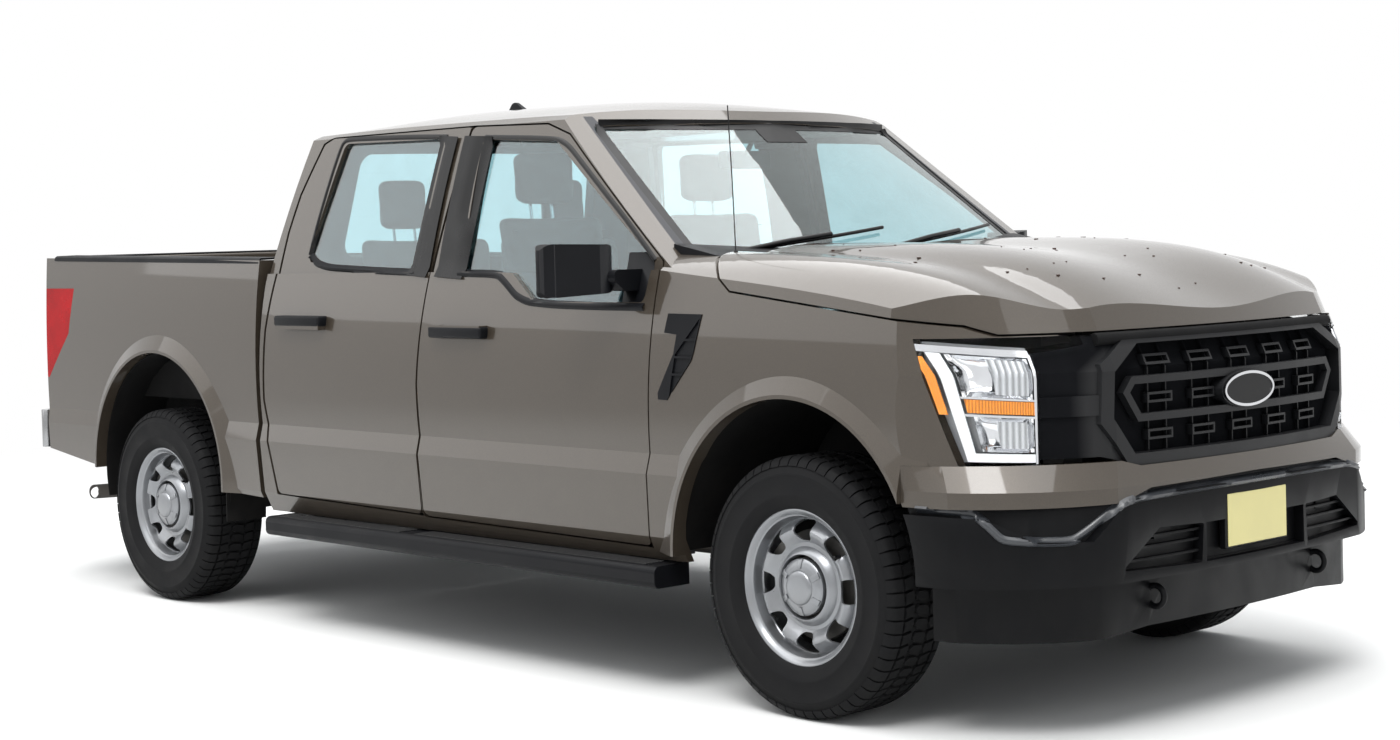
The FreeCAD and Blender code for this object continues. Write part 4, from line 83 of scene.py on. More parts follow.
class PaintSettings(bpy.types.PropertyGroup):
    colour: bpy.props.FloatVectorProperty(name="Colour", description="Body colour under the clear coat",
                                          default=(0.052, 0.0415, 0.031), min=0, max=1, subtype="COLOR")
    flake: bpy.props.FloatProperty(name="Flake size", description="Size of the metal flakes in the paint",
                                   default=0.0011, min=0.0002, max=0.01, subtype="DISTANCE", unit="LENGTH")
    dust: bpy.props.FloatProperty(name="Dust", description="How much road dust lies on the low panels",
                                  default=0.05, min=0, max=1, subtype="FACTOR")
    edge: bpy.props.FloatProperty(name="Edge radius", description="Radius of the panels' folded edges",
                                  default=0.0022, min=0.0005, max=0.01, subtype="DISTANCE", unit="LENGTH")


class TyreSettings(bpy.types.PropertyGroup):
    pitches: bpy.props.IntProperty(name="Tread pitches", description="Rows of tread blocks round a tyre",
                                   default=60, min=24, max=90)
    depth: bpy.props.FloatProperty(name="Tread depth", description="Depth of the grooves",
                                   default=0.009, min=0.003, max=0.02, subtype="DISTANCE", unit="LENGTH")


class SeatSettings(bpy.types.PropertyGroup):
    swell: bpy.props.FloatProperty(name="Swell", description="How far the padding may push its cover out",
                                   default=0.018, min=0.0, max=0.04, subtype="DISTANCE", unit="LENGTH")
    voxel: bpy.props.FloatProperty(name="Cover mesh", description="Mesh size of the simulated covers",
                                   default=0.012, min=0.004, max=0.03, subtype="DISTANCE", unit="LENGTH")


class LightSettings(bpy.types.PropertyGroup):
    sky: bpy.props.FloatProperty(name="Sky", description="Strength of the even light from all round",
                                 default=0.50, min=0, max=5)
    sun: bpy.props.FloatProperty(name="Sun", description="Strength of the soft sun",
                                 default=1.35, min=0, max=10)
    floor: bpy.props.FloatVectorProperty(name="Floor colour", description="Colour of the pale floor",
                                         default=(0.82, 0.82, 0.81), min=0, max=1, subtype="COLOR")


# Modelling helpers

def deselect():
    """Leaves edit mode and deselects everything."""
    if bpy.context.object and bpy.context.object.mode != "OBJECT":
        bpy.ops.object.mode_set(mode="OBJECT")
    bpy.ops.object.select_all(action="DESELECT")


def choose(piece):
    """Selects one piece alone."""
    deselect()
    piece.select_set(True)
    bpy.context.view_layer.objects.active = piece


def edit(piece):
    """Opens a piece in edit mode with all of it selected."""
    choose(piece)
    bpy.ops.object.mode_set(mode="EDIT")
    bpy.ops.mesh.select_all(action="SELECT")


def leave():
    """Goes back to object mode."""
    bpy.ops.object.mode_set(mode="OBJECT")


def pick_faces(piece, test):
    """Selects the faces whose centre and normal pass a test, in edit mode."""
    bpy.ops.mesh.select_mode(type="FACE")
    bpy.ops.mesh.select_all(action="DESELECT")
    mesh = bmesh.from_edit_mesh(piece.data)
    for face in mesh.faces:
        face.select_set(test(face.calc_center_median(), face.normal))
    bmesh.update_edit_mesh(piece.data)


def rounded(bevel, segments):
    """Rounds all the edges of a piece in edit mode, where a radius is given."""
    if bevel:
        bpy.ops.mesh.bevel(offset=bevel, segments=segments, affect="EDGES", clamp_overlap=True)


def faced_out(piece):
    """Turns a piece's faces outwards."""
    edit(piece)
    bpy.ops.mesh.normals_make_consistent(inside=False)
    leave()
    return piece


def block(name, low, high, bevel, segments=2):
    """A box between two corners, with its edges rounded."""
    low, high = Vector(low), Vector(high)
    deselect()
    bpy.ops.mesh.primitive_cube_add(size=1, location=(low + high) / 2, scale=high - low)
    piece = bpy.context.object
    piece.name = name
    bpy.ops.object.transform_apply(location=True, rotation=True, scale=True)
    edit(piece)
    rounded(bevel, segments)
    leave()
    return piece


def outlined(name, outline, fill="NGON"):
    """A flat face or a bare loop through an outline of points, opened in edit mode."""
    deselect()
    bpy.ops.mesh.primitive_circle_add(vertices=len(outline), fill_type=fill)
    piece = bpy.context.object
    piece.name = name
    for vertex, point in zip(piece.data.vertices, outline):
        vertex.co = point
    edit(piece)
    return piece


def pulled(piece, depth, bevel=0.0, segments=2):
    """Extrudes what is selected in edit mode by a depth vector, rounds it and leaves edit mode."""
    bpy.ops.mesh.extrude_region_move(TRANSFORM_OT_translate={"value": depth})
    bpy.ops.mesh.select_all(action="SELECT")
    bpy.ops.mesh.normals_make_consistent(inside=False)
    rounded(bevel, segments)
    leave()
    return piece


def plate(name, outline, depth, bevel=0.0, segments=2):
    """A plate from an outline of points, extruded by a depth vector."""
    return pulled(outlined(name, outline), depth, bevel, segments)


def ring_plate(name, outline, width, depth):
    """A flat ring as wide as a width inside an outline, extruded by a depth vector."""
    piece = outlined(name, outline)
    bpy.ops.mesh.inset(thickness=width, depth=0)
    bpy.ops.mesh.delete(type="FACE")
    bpy.ops.mesh.select_all(action="SELECT")
    return pulled(piece, depth)


def turned(name, profile, centre, axis, steps=64):
    """A shape spun about an axis from a closed profile of (radius, along) points."""
    centre, axis = Vector(centre), Vector(axis).normalized()
    out = axis.orthogonal().normalized()
    piece = outlined(name, [centre + out * radius + axis * along for radius, along in profile], "NOTHING")
    bpy.ops.mesh.spin(steps=steps, angle=math.tau, center=centre, axis=axis)
    bpy.ops.mesh.select_all(action="SELECT")
    bpy.ops.mesh.remove_doubles(threshold=SAME_POINT)
    bpy.ops.mesh.normals_make_consistent(inside=False)
    leave()
    return piece


def sheet(name, columns, rows, place):
    """An open sheet: a function of two shares from -1 to 1 gives the place of each of its points."""
    deselect()
    bpy.ops.mesh.primitive_grid_add(x_subdivisions=columns, y_subdivisions=rows, size=2)
    piece = bpy.context.object
    piece.name = name
    for vertex in piece.data.vertices:
        vertex.co = place(vertex.co.x, vertex.co.y)
    return piece


def repeated(piece, count, centre, axis):
    """Copies a mesh round an axis, a number of times in all."""
    edit(piece)
    bpy.ops.mesh.spin(steps=count, angle=math.tau, center=centre, axis=axis, dupli=True)
    bpy.ops.mesh.select_all(action="SELECT")
    bpy.ops.mesh.remove_doubles(threshold=SAME_POINT)
    leave()
    return piece


def joined(name, parts):
    """Several pieces as one."""
    deselect()
    for part in parts:
        part.select_set(True)
    bpy.context.view_layer.objects.active = parts[0]
    if len(parts) > 1:
        bpy.ops.object.join()
    parts[0].name = name
    return parts[0]


def copied(piece, matrix, name):
    """A copy of a piece with its own mesh, moved by a matrix."""
    copy = piece.copy()
    copy.data = piece.data.copy()
    bpy.context.scene.collection.objects.link(copy)
    copy.data.transform(matrix)
    copy.name = name
    return copy


def moved(piece, shift, turn, name):
    """A copy of a piece, turned and then moved."""
    return copied(piece, Matrix.Translation(Vector(shift)) @ Euler(turn).to_matrix().to_4x4(), name)


def across(piece, name):
    """A piece's mirror image on the truck's other side."""
    return faced_out(copied(piece, Matrix.Scale(-1, 4, (0, 1, 0)), name))


def subdivided(piece, cuts):
    """Cuts all of a piece's faces finer."""
    edit(piece)
    bpy.ops.mesh.subdivide(number_cuts=cuts)
    leave()
    return piece


def done(piece, body, material, angle=35):
    """Finishes a piece: its normals, material and slot, and the body it rides on."""
    choose(piece)
    bpy.ops.object.transform_apply(location=True, rotation=True, scale=True)
    piece.data.materials.clear()
    piece.data.materials.append(MATERIALS[material])
    bpy.ops.object.shade_smooth_by_angle(angle=math.radians(angle))
    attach(piece, body)
    return piece


# Shader node groups and materials

MATERIALS = {}
GROUPS = {}
FLOAT = "NodeSocketFloat"
COLOUR = "NodeSocketColor"
PLACE = ("Place", "NodeSocketVector", (0, 0, 0))


def new_group(name, inputs, outputs):
    """A shader node group with named sockets: inputs as (name, type, default), outputs as (name, type)."""
    group = bpy.data.node_groups.new(name, "ShaderNodeTree")
    for label, kind, value in inputs:
        socket = group.interface.new_socket(name=label, in_out="INPUT", socket_type=kind)
        socket.default_value = value
    for label, kind in outputs:
        group.interface.new_socket(name=label, in_out="OUTPUT", socket_type=kind)
    GROUPS[name] = group
    return group, group.nodes.new("NodeGroupInput"), group.nodes.new("NodeGroupOutput")


def add_node(tree, kind, values=None, **settings_of):
    """A shader node with the values of its sockets and its settings."""
    node = tree.nodes.new(kind)
    for key, value in settings_of.items():
        setattr(node, key, value)
    for key, value in (values or {}).items():
        node.inputs[key].default_value = value
    return node


def feed(tree, value, socket):
    """Links an output to a socket, or sets the socket to a plain value."""
    if isinstance(value, bpy.types.NodeSocket):
        tree.links.new(value, socket)
    else:
        socket.default_value = value


def finish(tree, shader, looks):
    """Feeds a shader's sockets, by their names."""
    for name, value in looks.items():
        feed(tree, value, shader.inputs[name])


def noise(tree, place, scale, detail=3.0, rough=0.5):
    """A value that changes softly from place to place."""
    node = add_node(tree, "ShaderNodeTexNoise", {"Detail": detail, "Roughness": rough})
    tree.links.new(place, node.inputs["Vector"])
    feed(tree, scale, node.inputs["Scale"])
    return node.outputs["Fac"]


def ramp(tree, value, low, high, out_low=0.0, out_high=1.0):
    """A value spread from one range to another, held at its ends."""
    ends = {"From Min": low, "From Max": high, "To Min": out_low, "To Max": out_high}
    node = add_node(tree, "ShaderNodeMapRange", ends)
    tree.links.new(value, node.inputs["Value"])
    return node.outputs["Result"]


def maths(tree, first, second, operation="MULTIPLY"):
    """Two values worked together, multiplied unless another operation is named."""
    node = add_node(tree, "ShaderNodeMath", operation=operation)
    feed(tree, first, node.inputs[0])
    feed(tree, second, node.inputs[1])
    return node.outputs["Value"]


def scaled(tree, colour, share):
    """A colour made darker or lighter by a share."""
    node = add_node(tree, "ShaderNodeVectorMath", operation="SCALE")
    feed(tree, colour, node.inputs[0])
    tree.links.new(share, node.inputs["Scale"])
    return node.outputs["Vector"]


def axes_of(tree, place):
    """A place split into its X, Y and Z."""
    split = add_node(tree, "ShaderNodeSeparateXYZ")
    tree.links.new(place, split.inputs["Vector"])
    return split.outputs


def mixed(tree, share, first, second):
    """Two colours mixed by a share."""
    node = add_node(tree, "ShaderNodeMix", data_type="RGBA")
    tree.links.new(share, node.inputs["Factor"])
    for name, value in (("A", first), ("B", second)):
        socket = [entry for entry in node.inputs if entry.name == name and entry.type == "RGBA"][0]
        feed(tree, (*value, 1) if isinstance(value, tuple) else value, socket)
    return [entry for entry in node.outputs if entry.type == "RGBA"][0]


def make_grain():
    """Fine moulded grain: a height and a slow change of tone."""
    group, entry, exit_node = new_group(
        "moulded_grain", [PLACE, ("Grain", FLOAT, 900.0), ("Cloud", FLOAT, 6.0)],
        [("Height", FLOAT), ("Tone", FLOAT)])
    for scale, detail, rough, result in (("Grain", 2.0, 0.6, "Height"), ("Cloud", 4.0, 0.55, "Tone")):
        value = noise(group, entry.outputs["Place"], entry.outputs[scale], detail, rough)
        group.links.new(value, exit_node.inputs[result])


def make_dust():
    """Road dust: a mask that is strongest low down and breaks up in patches."""
    group, entry, exit_node = new_group(
        "road_dust", [PLACE, ("Amount", FLOAT, 0.3), ("Top", FLOAT, 1.0)], [("Mask", FLOAT)])
    place = entry.outputs["Place"]
    height = add_node(group, "ShaderNodeMapRange", {"From Min": 0.15, "To Min": 1.0, "To Max": 0.0})
    group.links.new(axes_of(group, place)["Z"], height.inputs["Value"])
    group.links.new(entry.outputs["Top"], height.inputs["From Max"])
    patches = ramp(group, noise(group, place, 9.0, 8.0, 0.65), 0.35, 0.75)
    both = maths(group, height.outputs["Result"], patches)
    group.links.new(maths(group, both, entry.outputs["Amount"]), exit_node.inputs["Mask"])


def make_flakes():
    """Metal flakes: each flake has its own tone and its own roughness."""
    group, entry, exit_node = new_group(
        "metal_flakes", [PLACE, ("Size", FLOAT, 0.001), ("Colour", COLOUR, (0.1, 0.1, 0.1, 1))],
        [("Colour", COLOUR), ("Sparkle", FLOAT)])
    cells = add_node(group, "ShaderNodeTexVoronoi")
    group.links.new(entry.outputs["Place"], cells.inputs["Vector"])
    group.links.new(maths(group, 1.0, entry.outputs["Size"], "DIVIDE"), cells.inputs["Scale"])
    split = add_node(group, "ShaderNodeSeparateColor")
    group.links.new(cells.outputs["Color"], split.inputs["Color"])
    tone = ramp(group, split.outputs["Red"], 0.0, 1.0, 0.86, 1.16)
    group.links.new(scaled(group, entry.outputs["Colour"], tone), exit_node.inputs["Colour"])
    rough = ramp(group, split.outputs["Green"], 0.0, 1.0, 0.26, 0.42)
    group.links.new(rough, exit_node.inputs["Sparkle"])


def make_cabin_side():
    """A mask that is 1 on what faces into the cab: points nearer the middle than the body's skin."""
    group, entry, exit_node = new_group(
        "cabin_side", [PLACE, ("Half", FLOAT, 0.9), ("Lean", FLOAT, 0.2466), ("Belt", FLOAT, 1.345)],
        [("Mask", FLOAT)])
    axes = axes_of(group, entry.outputs["Place"])
    away = add_node(group, "ShaderNodeMath", operation="ABSOLUTE")
    group.links.new(axes["Y"], away.inputs[0])
    over = maths(group, maths(group, axes["Z"], entry.outputs["Belt"], "SUBTRACT"), 0.0, "MAXIMUM")
    limit = maths(group, entry.outputs["Half"], maths(group, over, entry.outputs["Lean"]), "SUBTRACT")
    mask = maths(group, away.outputs["Value"], limit, "LESS_THAN")
    group.links.new(mask, exit_node.inputs["Mask"])


def new_material(name):
    """A bare material: its node tree, its shader and the place on the piece."""
    material = bpy.data.materials.new(name)
    material.use_nodes = True
    tree = material.node_tree
    tree.nodes.clear()
    out = tree.nodes.new("ShaderNodeOutputMaterial")
    shader = tree.nodes.new("ShaderNodeBsdfPrincipled")
    tree.links.new(shader.outputs["BSDF"], out.inputs["Surface"])
    place = tree.nodes.new("ShaderNodeTexCoord").outputs["Object"]
    MATERIALS[name] = material
    return tree, shader, place


def placed(tree, name, place, **values):
    """A node group placed in a material with its own values."""
    node = tree.nodes.new("ShaderNodeGroup")
    node.node_tree = GROUPS[name]
    tree.links.new(place, node.inputs["Place"])
    for key, value in values.items():
        node.inputs[key].default_value = value
    return node


def bumped(tree, shader, height, strength, distance):
    """Gives a shader fine relief from a height."""
    node = add_node(tree, "ShaderNodeBump", {"Strength": strength, "Distance": distance})
    tree.links.new(height, node.inputs["Height"])
    tree.links.new(node.outputs["Normal"], shader.inputs["Normal"])


def toned(tree, tone, colour, low, high):
    """A colour made darker and lighter by a tone."""
    return scaled(tree, colour, ramp(tree, tone, 0.3, 0.7, low, high))


DUST = (0.23, 0.20, 0.165)
TRIM_GREY = (0.055, 0.056, 0.060)
GRAIN_DEPTH = 0.0006
# How far the truck's front bends back, for each square metre from the middle
FRONT_BOW = 0.149


def make_paint(name, inner=None):
    """Metallic paint under a clear coat, with dust low down and cabin trim on the inner faces."""
    look = bpy.context.scene.truck_paint
    tree, shader, place = new_material(name)
    flakes = placed(tree, "metal_flakes", place, Size=look.flake, Colour=(*look.colour, 1))
    dust = placed(tree, "road_dust", place, Amount=look.dust, Top=1.15).outputs["Mask"]
    colour = mixed(tree, dust, flakes.outputs["Colour"], DUST)
    rough = maths(tree, ramp(tree, dust, 0.0, 0.6, 0.3, 0.75), flakes.outputs["Sparkle"], "MAXIMUM")
    metal = ramp(tree, dust, 0.0, 0.5, 0.34, 0.1)
    coat = ramp(tree, dust, 0.0, 0.5, 1.0, 0.2)
    if inner:
        mask = placed(tree, "cabin_side", place, Half=inner).outputs["Mask"]
        colour = mixed(tree, mask, colour, TRIM_GREY)
        rough = maths(tree, rough, maths(tree, mask, 0.6), "MAXIMUM")
        off = maths(tree, 1.0, mask, "SUBTRACT")
        metal = maths(tree, metal, off)
        coat = maths(tree, coat, off)
    finish(tree, shader, {"Base Color": colour, "Roughness": rough, "Metallic": metal, "Coat Weight": coat,
                          "Coat Roughness": 0.04, "Specular IOR Level": 0.22})
    bumped(tree, shader, noise(tree, place, 260.0, 1.0), 0.05, 0.0004)


def make_moulded(name, colour, rough, grain, strength, dust=0.0, top=0.9, metal=0.0, coat=0.0,
                 low=0.85, high=1.15, shine=0.5):
    """A moulded or cast surface: grain, a slow change of tone, and dust low down."""
    tree, shader, place = new_material(name)
    skin = placed(tree, "moulded_grain", place, Grain=grain, Cloud=7.0)
    tone = skin.outputs["Tone"]
    mask = placed(tree, "road_dust", place, Amount=dust, Top=top).outputs["Mask"]
    finish(tree, shader, {"Base Color": mixed(tree, mask, toned(tree, tone, colour, low, high), DUST),
                          "Roughness": ramp(tree, tone, 0.3, 0.7, rough - 0.06, rough + 0.08),
                          "Metallic": metal, "Specular IOR Level": shine, "Coat Weight": coat})
    bumped(tree, shader, skin.outputs["Height"], strength, GRAIN_DEPTH)


def make_glass(name, tint, ior):
    """Clear glass with faint smears."""
    tree, shader, place = new_material(name)
    smears = noise(tree, place, 3.5, 6.0, 0.7)
    finish(tree, shader, {"Base Color": toned(tree, smears, tint, 0.94, 1.04),
                          "Roughness": ramp(tree, smears, 0.45, 0.75, 0.0, 0.02),
                          "Transmission Weight": 1.0, "IOR": ior})


def make_cloth(name, colour):
    """Woven cloth: two crossed waves of thread."""
    tree, shader, place = new_material(name)
    waves = []
    for direction in ("X", "Z"):
        wave = add_node(tree, "ShaderNodeTexWave", {"Scale": 260.0, "Distortion": 1.2, "Detail": 1.0},
                        bands_direction=direction)
        tree.links.new(place, wave.inputs["Vector"])
        waves.append(wave.outputs["Fac"])
    weave = maths(tree, *waves)
    slow = ramp(tree, noise(tree, place, 5.0, 5.0), 0.3, 0.7, 0.85, 1.12)
    tone = maths(tree, ramp(tree, weave, 0.0, 1.0, 0.75, 1.15), slow)
    finish(tree, shader, {"Base Color": scaled(tree, colour, tone), "Sheen Weight": 0.25,
                          "Roughness": ramp(tree, weave, 0.0, 1.0, 0.95, 0.82)})
    bumped(tree, shader, weave, 0.35, 0.0008)


def make_rubber(name):
    """Tyre rubber: fine grain, an uneven tone and a little dust low down."""
    tree, shader, place = new_material(name)
    skin = placed(tree, "moulded_grain", place, Grain=700.0, Cloud=12.0)
    tone = skin.outputs["Tone"]
    dust = placed(tree, "road_dust", place, Amount=0.03, Top=0.95).outputs["Mask"]
    base = toned(tree, tone, (0.0055, 0.0056, 0.0062), 0.75, 1.3)
    finish(tree, shader, {"Base Color": mixed(tree, dust, base, (0.10, 0.092, 0.080)),
                          "Roughness": ramp(tree, tone, 0.3, 0.7, 0.60, 0.78), "Specular IOR Level": 0.14})
    bumped(tree, shader, skin.outputs["Height"], 0.25, GRAIN_DEPTH)


def make_ribbed(name, colour, along, scale, coat=0.6, rough=0.2, metal=0.0):
    """A lens or reflector pressed with fine ribs along one direction."""
    tree, shader, place = new_material(name)
    wave = add_node(tree, "ShaderNodeTexWave", {"Scale": scale, "Detail": 0.0}, bands_direction=along)
    tree.links.new(place, wave.inputs["Vector"])
    ribs = wave.outputs["Fac"]
    finish(tree, shader, {"Base Color": scaled(tree, colour, ramp(tree, ribs, 0.0, 1.0, 0.6, 1.15)),
                          "Roughness": ramp(tree, ribs, 0.0, 1.0, rough, rough + 0.1),
                          "Metallic": metal, "Coat Weight": coat})
    bumped(tree, shader, ribs, 0.5, 0.002)


def make_grille(name):
    """The grille's moulding, nearly black behind its front bars."""
    make_moulded(name, (0.0075, 0.0078, 0.0088), 0.44, 850.0, 0.25, shine=0.3)
    tree = MATERIALS[name].node_tree
    axes = axes_of(tree, tree.nodes.new("ShaderNodeTexCoord").outputs["Object"])
    bow = maths(tree, maths(tree, axes["Y"], axes["Y"]), FRONT_BOW)
    front = ramp(tree, maths(tree, axes["X"], bow, "ADD"), 2.872, 2.888, 0.0, 0.3)
    tree.links.new(front, tree.nodes["Principled BSDF"].inputs["Specular IOR Level"])


def make_materials():
    """Makes the shader groups first, then every material."""
    make_grain()
    make_dust()
    make_flakes()
    make_cabin_side()
    make_paint("paint")
    make_paint("door_paint", inner=0.905)
    make_paint("cab_paint", inner=0.86)
    make_moulded("black_plastic", (0.0038, 0.0042, 0.0055), 0.46, 850.0, 0.3, dust=0.01, top=0.8,
                 shine=0.14)
    make_moulded("satin_black", (0.004, 0.004, 0.0045), 0.32, 500.0, 0.08, shine=0.25)
    make_moulded("bumper_plastic", (0.0034, 0.0036, 0.0043), 0.38, 850.0, 0.22, dust=0.015, top=0.75,
                 shine=0.11)
    # A lighter, shinier grey than the bumper plastic: a painted highlight for the rounded ledge along the
    # bumper's bevel
    make_moulded("bumper_edge_painted_highlight", (0.030, 0.033, 0.038), 0.30, 850.0, 0.15, shine=0.6)
    make_moulded("liner_plastic", (0.0035, 0.0035, 0.0038), 0.75, 300.0, 0.4, dust=0.05, top=1.1,
                 shine=0.15)
    make_moulded("cabin_plastic", (0.040, 0.041, 0.044), 0.6, 600.0, 0.4)
    make_moulded("headliner", (0.42, 0.41, 0.39), 0.85, 500.0, 0.4)
    make_moulded("frame_black", (0.008, 0.008, 0.0085), 0.5, 200.0, 0.2, dust=0.2, top=0.9, shine=0.3)
    make_moulded("iron", (0.085, 0.083, 0.080), 0.6, 160.0, 0.5, dust=0.3, metal=0.6)
    make_moulded("exhaust_steel", (0.045, 0.040, 0.036), 0.62, 120.0, 0.2, dust=0.12, metal=0.6)
    make_moulded("bumper_steel", (0.33, 0.335, 0.345), 0.22, 60.0, 0.04, dust=0.25, top=0.9, metal=0.95)
    make_moulded("wheel_silver", (0.24, 0.25, 0.265), 0.33, 1400.0, 0.05, dust=0.16, metal=0.75, coat=0.5,
                 low=0.93, high=1.05)
    make_moulded("chrome", (0.72, 0.73, 0.75), 0.08, 60.0, 0.01, metal=1.0, low=0.97, high=1.03)
    make_moulded("reflector", (0.80, 0.81, 0.83), 0.10, 90.0, 0.06, metal=1.0, low=0.9, high=1.05)
    make_moulded("lamp_bar", (0.86, 0.88, 0.90), 0.25, 200.0, 0.02, coat=0.8, low=0.97, high=1.02)
    make_moulded("amber", (0.86, 0.27, 0.015), 0.18, 200.0, 0.03, coat=1.0)
    make_moulded("lamp_red", (0.30, 0.0008, 0.003), 0.22, 200.0, 0.03, coat=0.06, shine=0.10)
    make_moulded("lamp_grey", (0.33, 0.34, 0.35), 0.35, 200.0, 0.05, metal=0.8)
    make_moulded("plate_pale", (0.62, 0.56, 0.24), 0.35, 160.0, 0.03, coat=0.3, low=0.97, high=1.03)
    make_moulded("leaf", (0.055, 0.022, 0.016), 0.8, 500.0, 0.5)
    make_moulded("bed_coating", (0.13, 0.11, 0.092), 0.55, 420.0, 0.25, dust=0.25, top=1.1, metal=0.3,
                 coat=0.3)
    make_ribbed("amber_ribs", (0.86, 0.27, 0.015), "Y", 60.0)
    make_ribbed("clear_ribs", (0.62, 0.64, 0.66), "Y", 26.0, metal=0.85, rough=0.12)
    make_ribbed("red_ribs", (0.34, 0.004, 0.008), "Z", 30.0, coat=0.3)
    make_glass("glass", (0.52, 0.74, 0.80), 1.70)
    make_glass("lamp_clear", (0.97, 0.98, 0.99), 1.12)
    make_glass("screen_glass", (0.72, 0.90, 0.91), 1.65)
    make_cloth("seat_cloth", (0.088, 0.090, 0.097))
    make_rubber("tyre")
    make_grille("grille_black")


SPECIAL = {"front_bumper": "bumper_plastic", "roof_panel": "paint", "bed_floor": "bed_coating",
           "cab_floor": "cabin_plastic", "firewall": "cabin_plastic", "cab_rear": "cab_paint",
           "cab_side_left": "cab_paint", "cab_side_right": "cab_paint",
           "cab_glass": "screen_glass", "spare_wheel": "tyre", "grille": "grille_black"}


def edge_rounds(piece, width):
    """Rounds a CAD node's sharp edges with live modifiers, which leave its mesh alone."""
    weld = piece.modifiers.new("Weld", "WELD")
    weld.merge_threshold = SAME_POINT
    flat = piece.modifiers.new("Flat faces", "DECIMATE")
    flat.decimate_type = "DISSOLVE"
    flat.angle_limit = math.radians(0.5)
    bevel = piece.modifiers.new("Edges", "BEVEL")
    bevel.width = width
    bevel.segments = 2
    bevel.limit_method = "ANGLE"
    bevel.angle_limit = math.radians(38)
    bevel.harden_normals = True


EDGED = ("front_bumper", "side_steps", "rear_bumper", "mirror_left", "mirror_right")


class TRUCK_OT_finishes(bpy.types.Operator):
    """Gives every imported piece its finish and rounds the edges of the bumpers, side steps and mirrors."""
    bl_idname = "truck.finishes"
    bl_label = "Finishes"

    def execute(self, context):
        make_materials()
        for name, node in NODES.items():
            finish = SPECIAL.get(name, SLOT_OF[name])
            if name.startswith("door_"):
                finish = "door_paint"
            node.data.materials.clear()
            node.data.materials.append(MATERIALS[finish])
            if name in EDGED:
                edge_rounds(node, context.scene.truck_paint.edge)
        return {"FINISHED"}


# More modelling helpers

def tube(name, points, radius):
    """A round bar along a line through points."""
    curve = bpy.data.curves.new(name, "CURVE")
    curve.dimensions = "3D"
    curve.bevel_depth = radius
    curve.bevel_resolution = 2
    curve.use_fill_caps = True
    line = curve.splines.new("POLY")
    line.points.add(len(points) - 1)
    for spot, point in zip(line.points, points):
        spot.co = (*point, 1)
    holder = bpy.data.objects.new(name, curve)
    bpy.context.scene.collection.objects.link(holder)
    choose(holder)
    bpy.ops.object.convert(target="MESH")
    return bpy.context.object


def cast(host, start, aim):
    """The first point of a CAD node along a ray, or None."""
    found = NODES[host].ray_cast(Vector(start), Vector(aim).normalized())
    return found[1] if found[0] else None


DRAPE_REACH = 4.0


def draped(piece, host, aim):
    """Lays a flat piece on a node along an aim, with each point as high off it as it stood off the plane."""
    aim = Vector(aim).normalized()
    missed = []
    depths = []
    for vertex in piece.data.vertices:
        height = -vertex.co.dot(aim)
        flat = vertex.co + aim * height
        place = cast(host, flat - aim * DRAPE_REACH, aim)
        if place is None:
            missed.append((vertex, flat, height))
        else:
            depths.append(place.dot(aim))
            vertex.co = place - aim * height
    for vertex, flat, height in missed:
        vertex.co = flat + aim * (sum(depths) / len(depths) - height)
    return faced_out(piece)


def shaped(piece, kind, **settings_of):
    """Applies a modifier with its settings to a piece."""
    choose(piece)
    modifier = piece.modifiers.new(kind, kind)
    for key, value in settings_of.items():
        setattr(modifier, key, value)
    bpy.ops.object.modifier_apply(modifier=modifier.name)
    return piece


def thickened(piece, thickness):
    """Gives an open sheet a thickness, with its rim closed."""
    return faced_out(shaped(piece, "SOLIDIFY", thickness=thickness, offset=0))


NEAR_STEPS = (0.0, 0.006, -0.006, 0.012, -0.012, 0.020, -0.020, 0.030, -0.030)
NEAR_REACH = 0.5


def surface(spot, hosts, aim):
    """The outermost point of some CAD nodes at a spot along an aim, or a little beside it where it misses."""
    for shift in NEAR_STEPS:
        for way in (Vector((0, 0, 1)), Vector((1, 0, 0))):
            start = spot + way * shift - aim * NEAR_REACH
            found = [NODES[host].ray_cast(start, aim, distance=2 * NEAR_REACH) for host in hosts]
            reached = [(entry[1] - start).length for entry in found if entry[0]]
            if reached:
                return spot - aim * NEAR_REACH + aim * min(reached)
    return spot


RIBBON_RISE = (-0.2, 0.75, 1.0, 0.75, -0.2)
RIBBON_WALL = 0.0016


def ribbon(name, path, width, height, hosts, aim, steps=6, flat=False):
    """A rounded moulding laid on CAD nodes along a path. The aim is a direction or gives one at each spot."""
    spots = []
    for start, end in zip(path, path[1:]):
        start, end = Vector(start), Vector(end)
        spots += [start.lerp(end, step / steps) for step in range(steps)]
    spots.append(Vector(path[-1]))
    for smoothing in range(3):
        middle = [(before + spot * 2 + after) / 4 for before, spot, after in zip(spots, spots[1:], spots[2:])]
        spots = [spots[0]] + middle + [spots[-1]]
    last = len(spots) - 1

    def lay(along, up):
        index = round((along + 1) / 2 * last)
        row = round((up + 1) * 2)
        run = (spots[min(index + 1, last)] - spots[max(index - 1, 0)]).normalized()
        inward = aim(spots[index]) if callable(aim) else Vector(aim)
        spread_way = run.cross(inward).normalized()
        rise = height if flat else height * RIBBON_RISE[row]
        return surface(spots[index] + spread_way * width * (row / 4 - 0.5), hosts, inward) - inward * rise

    return thickened(sheet(name, last, 4, lay), RIBBON_WALL)


# Tyres and wheels

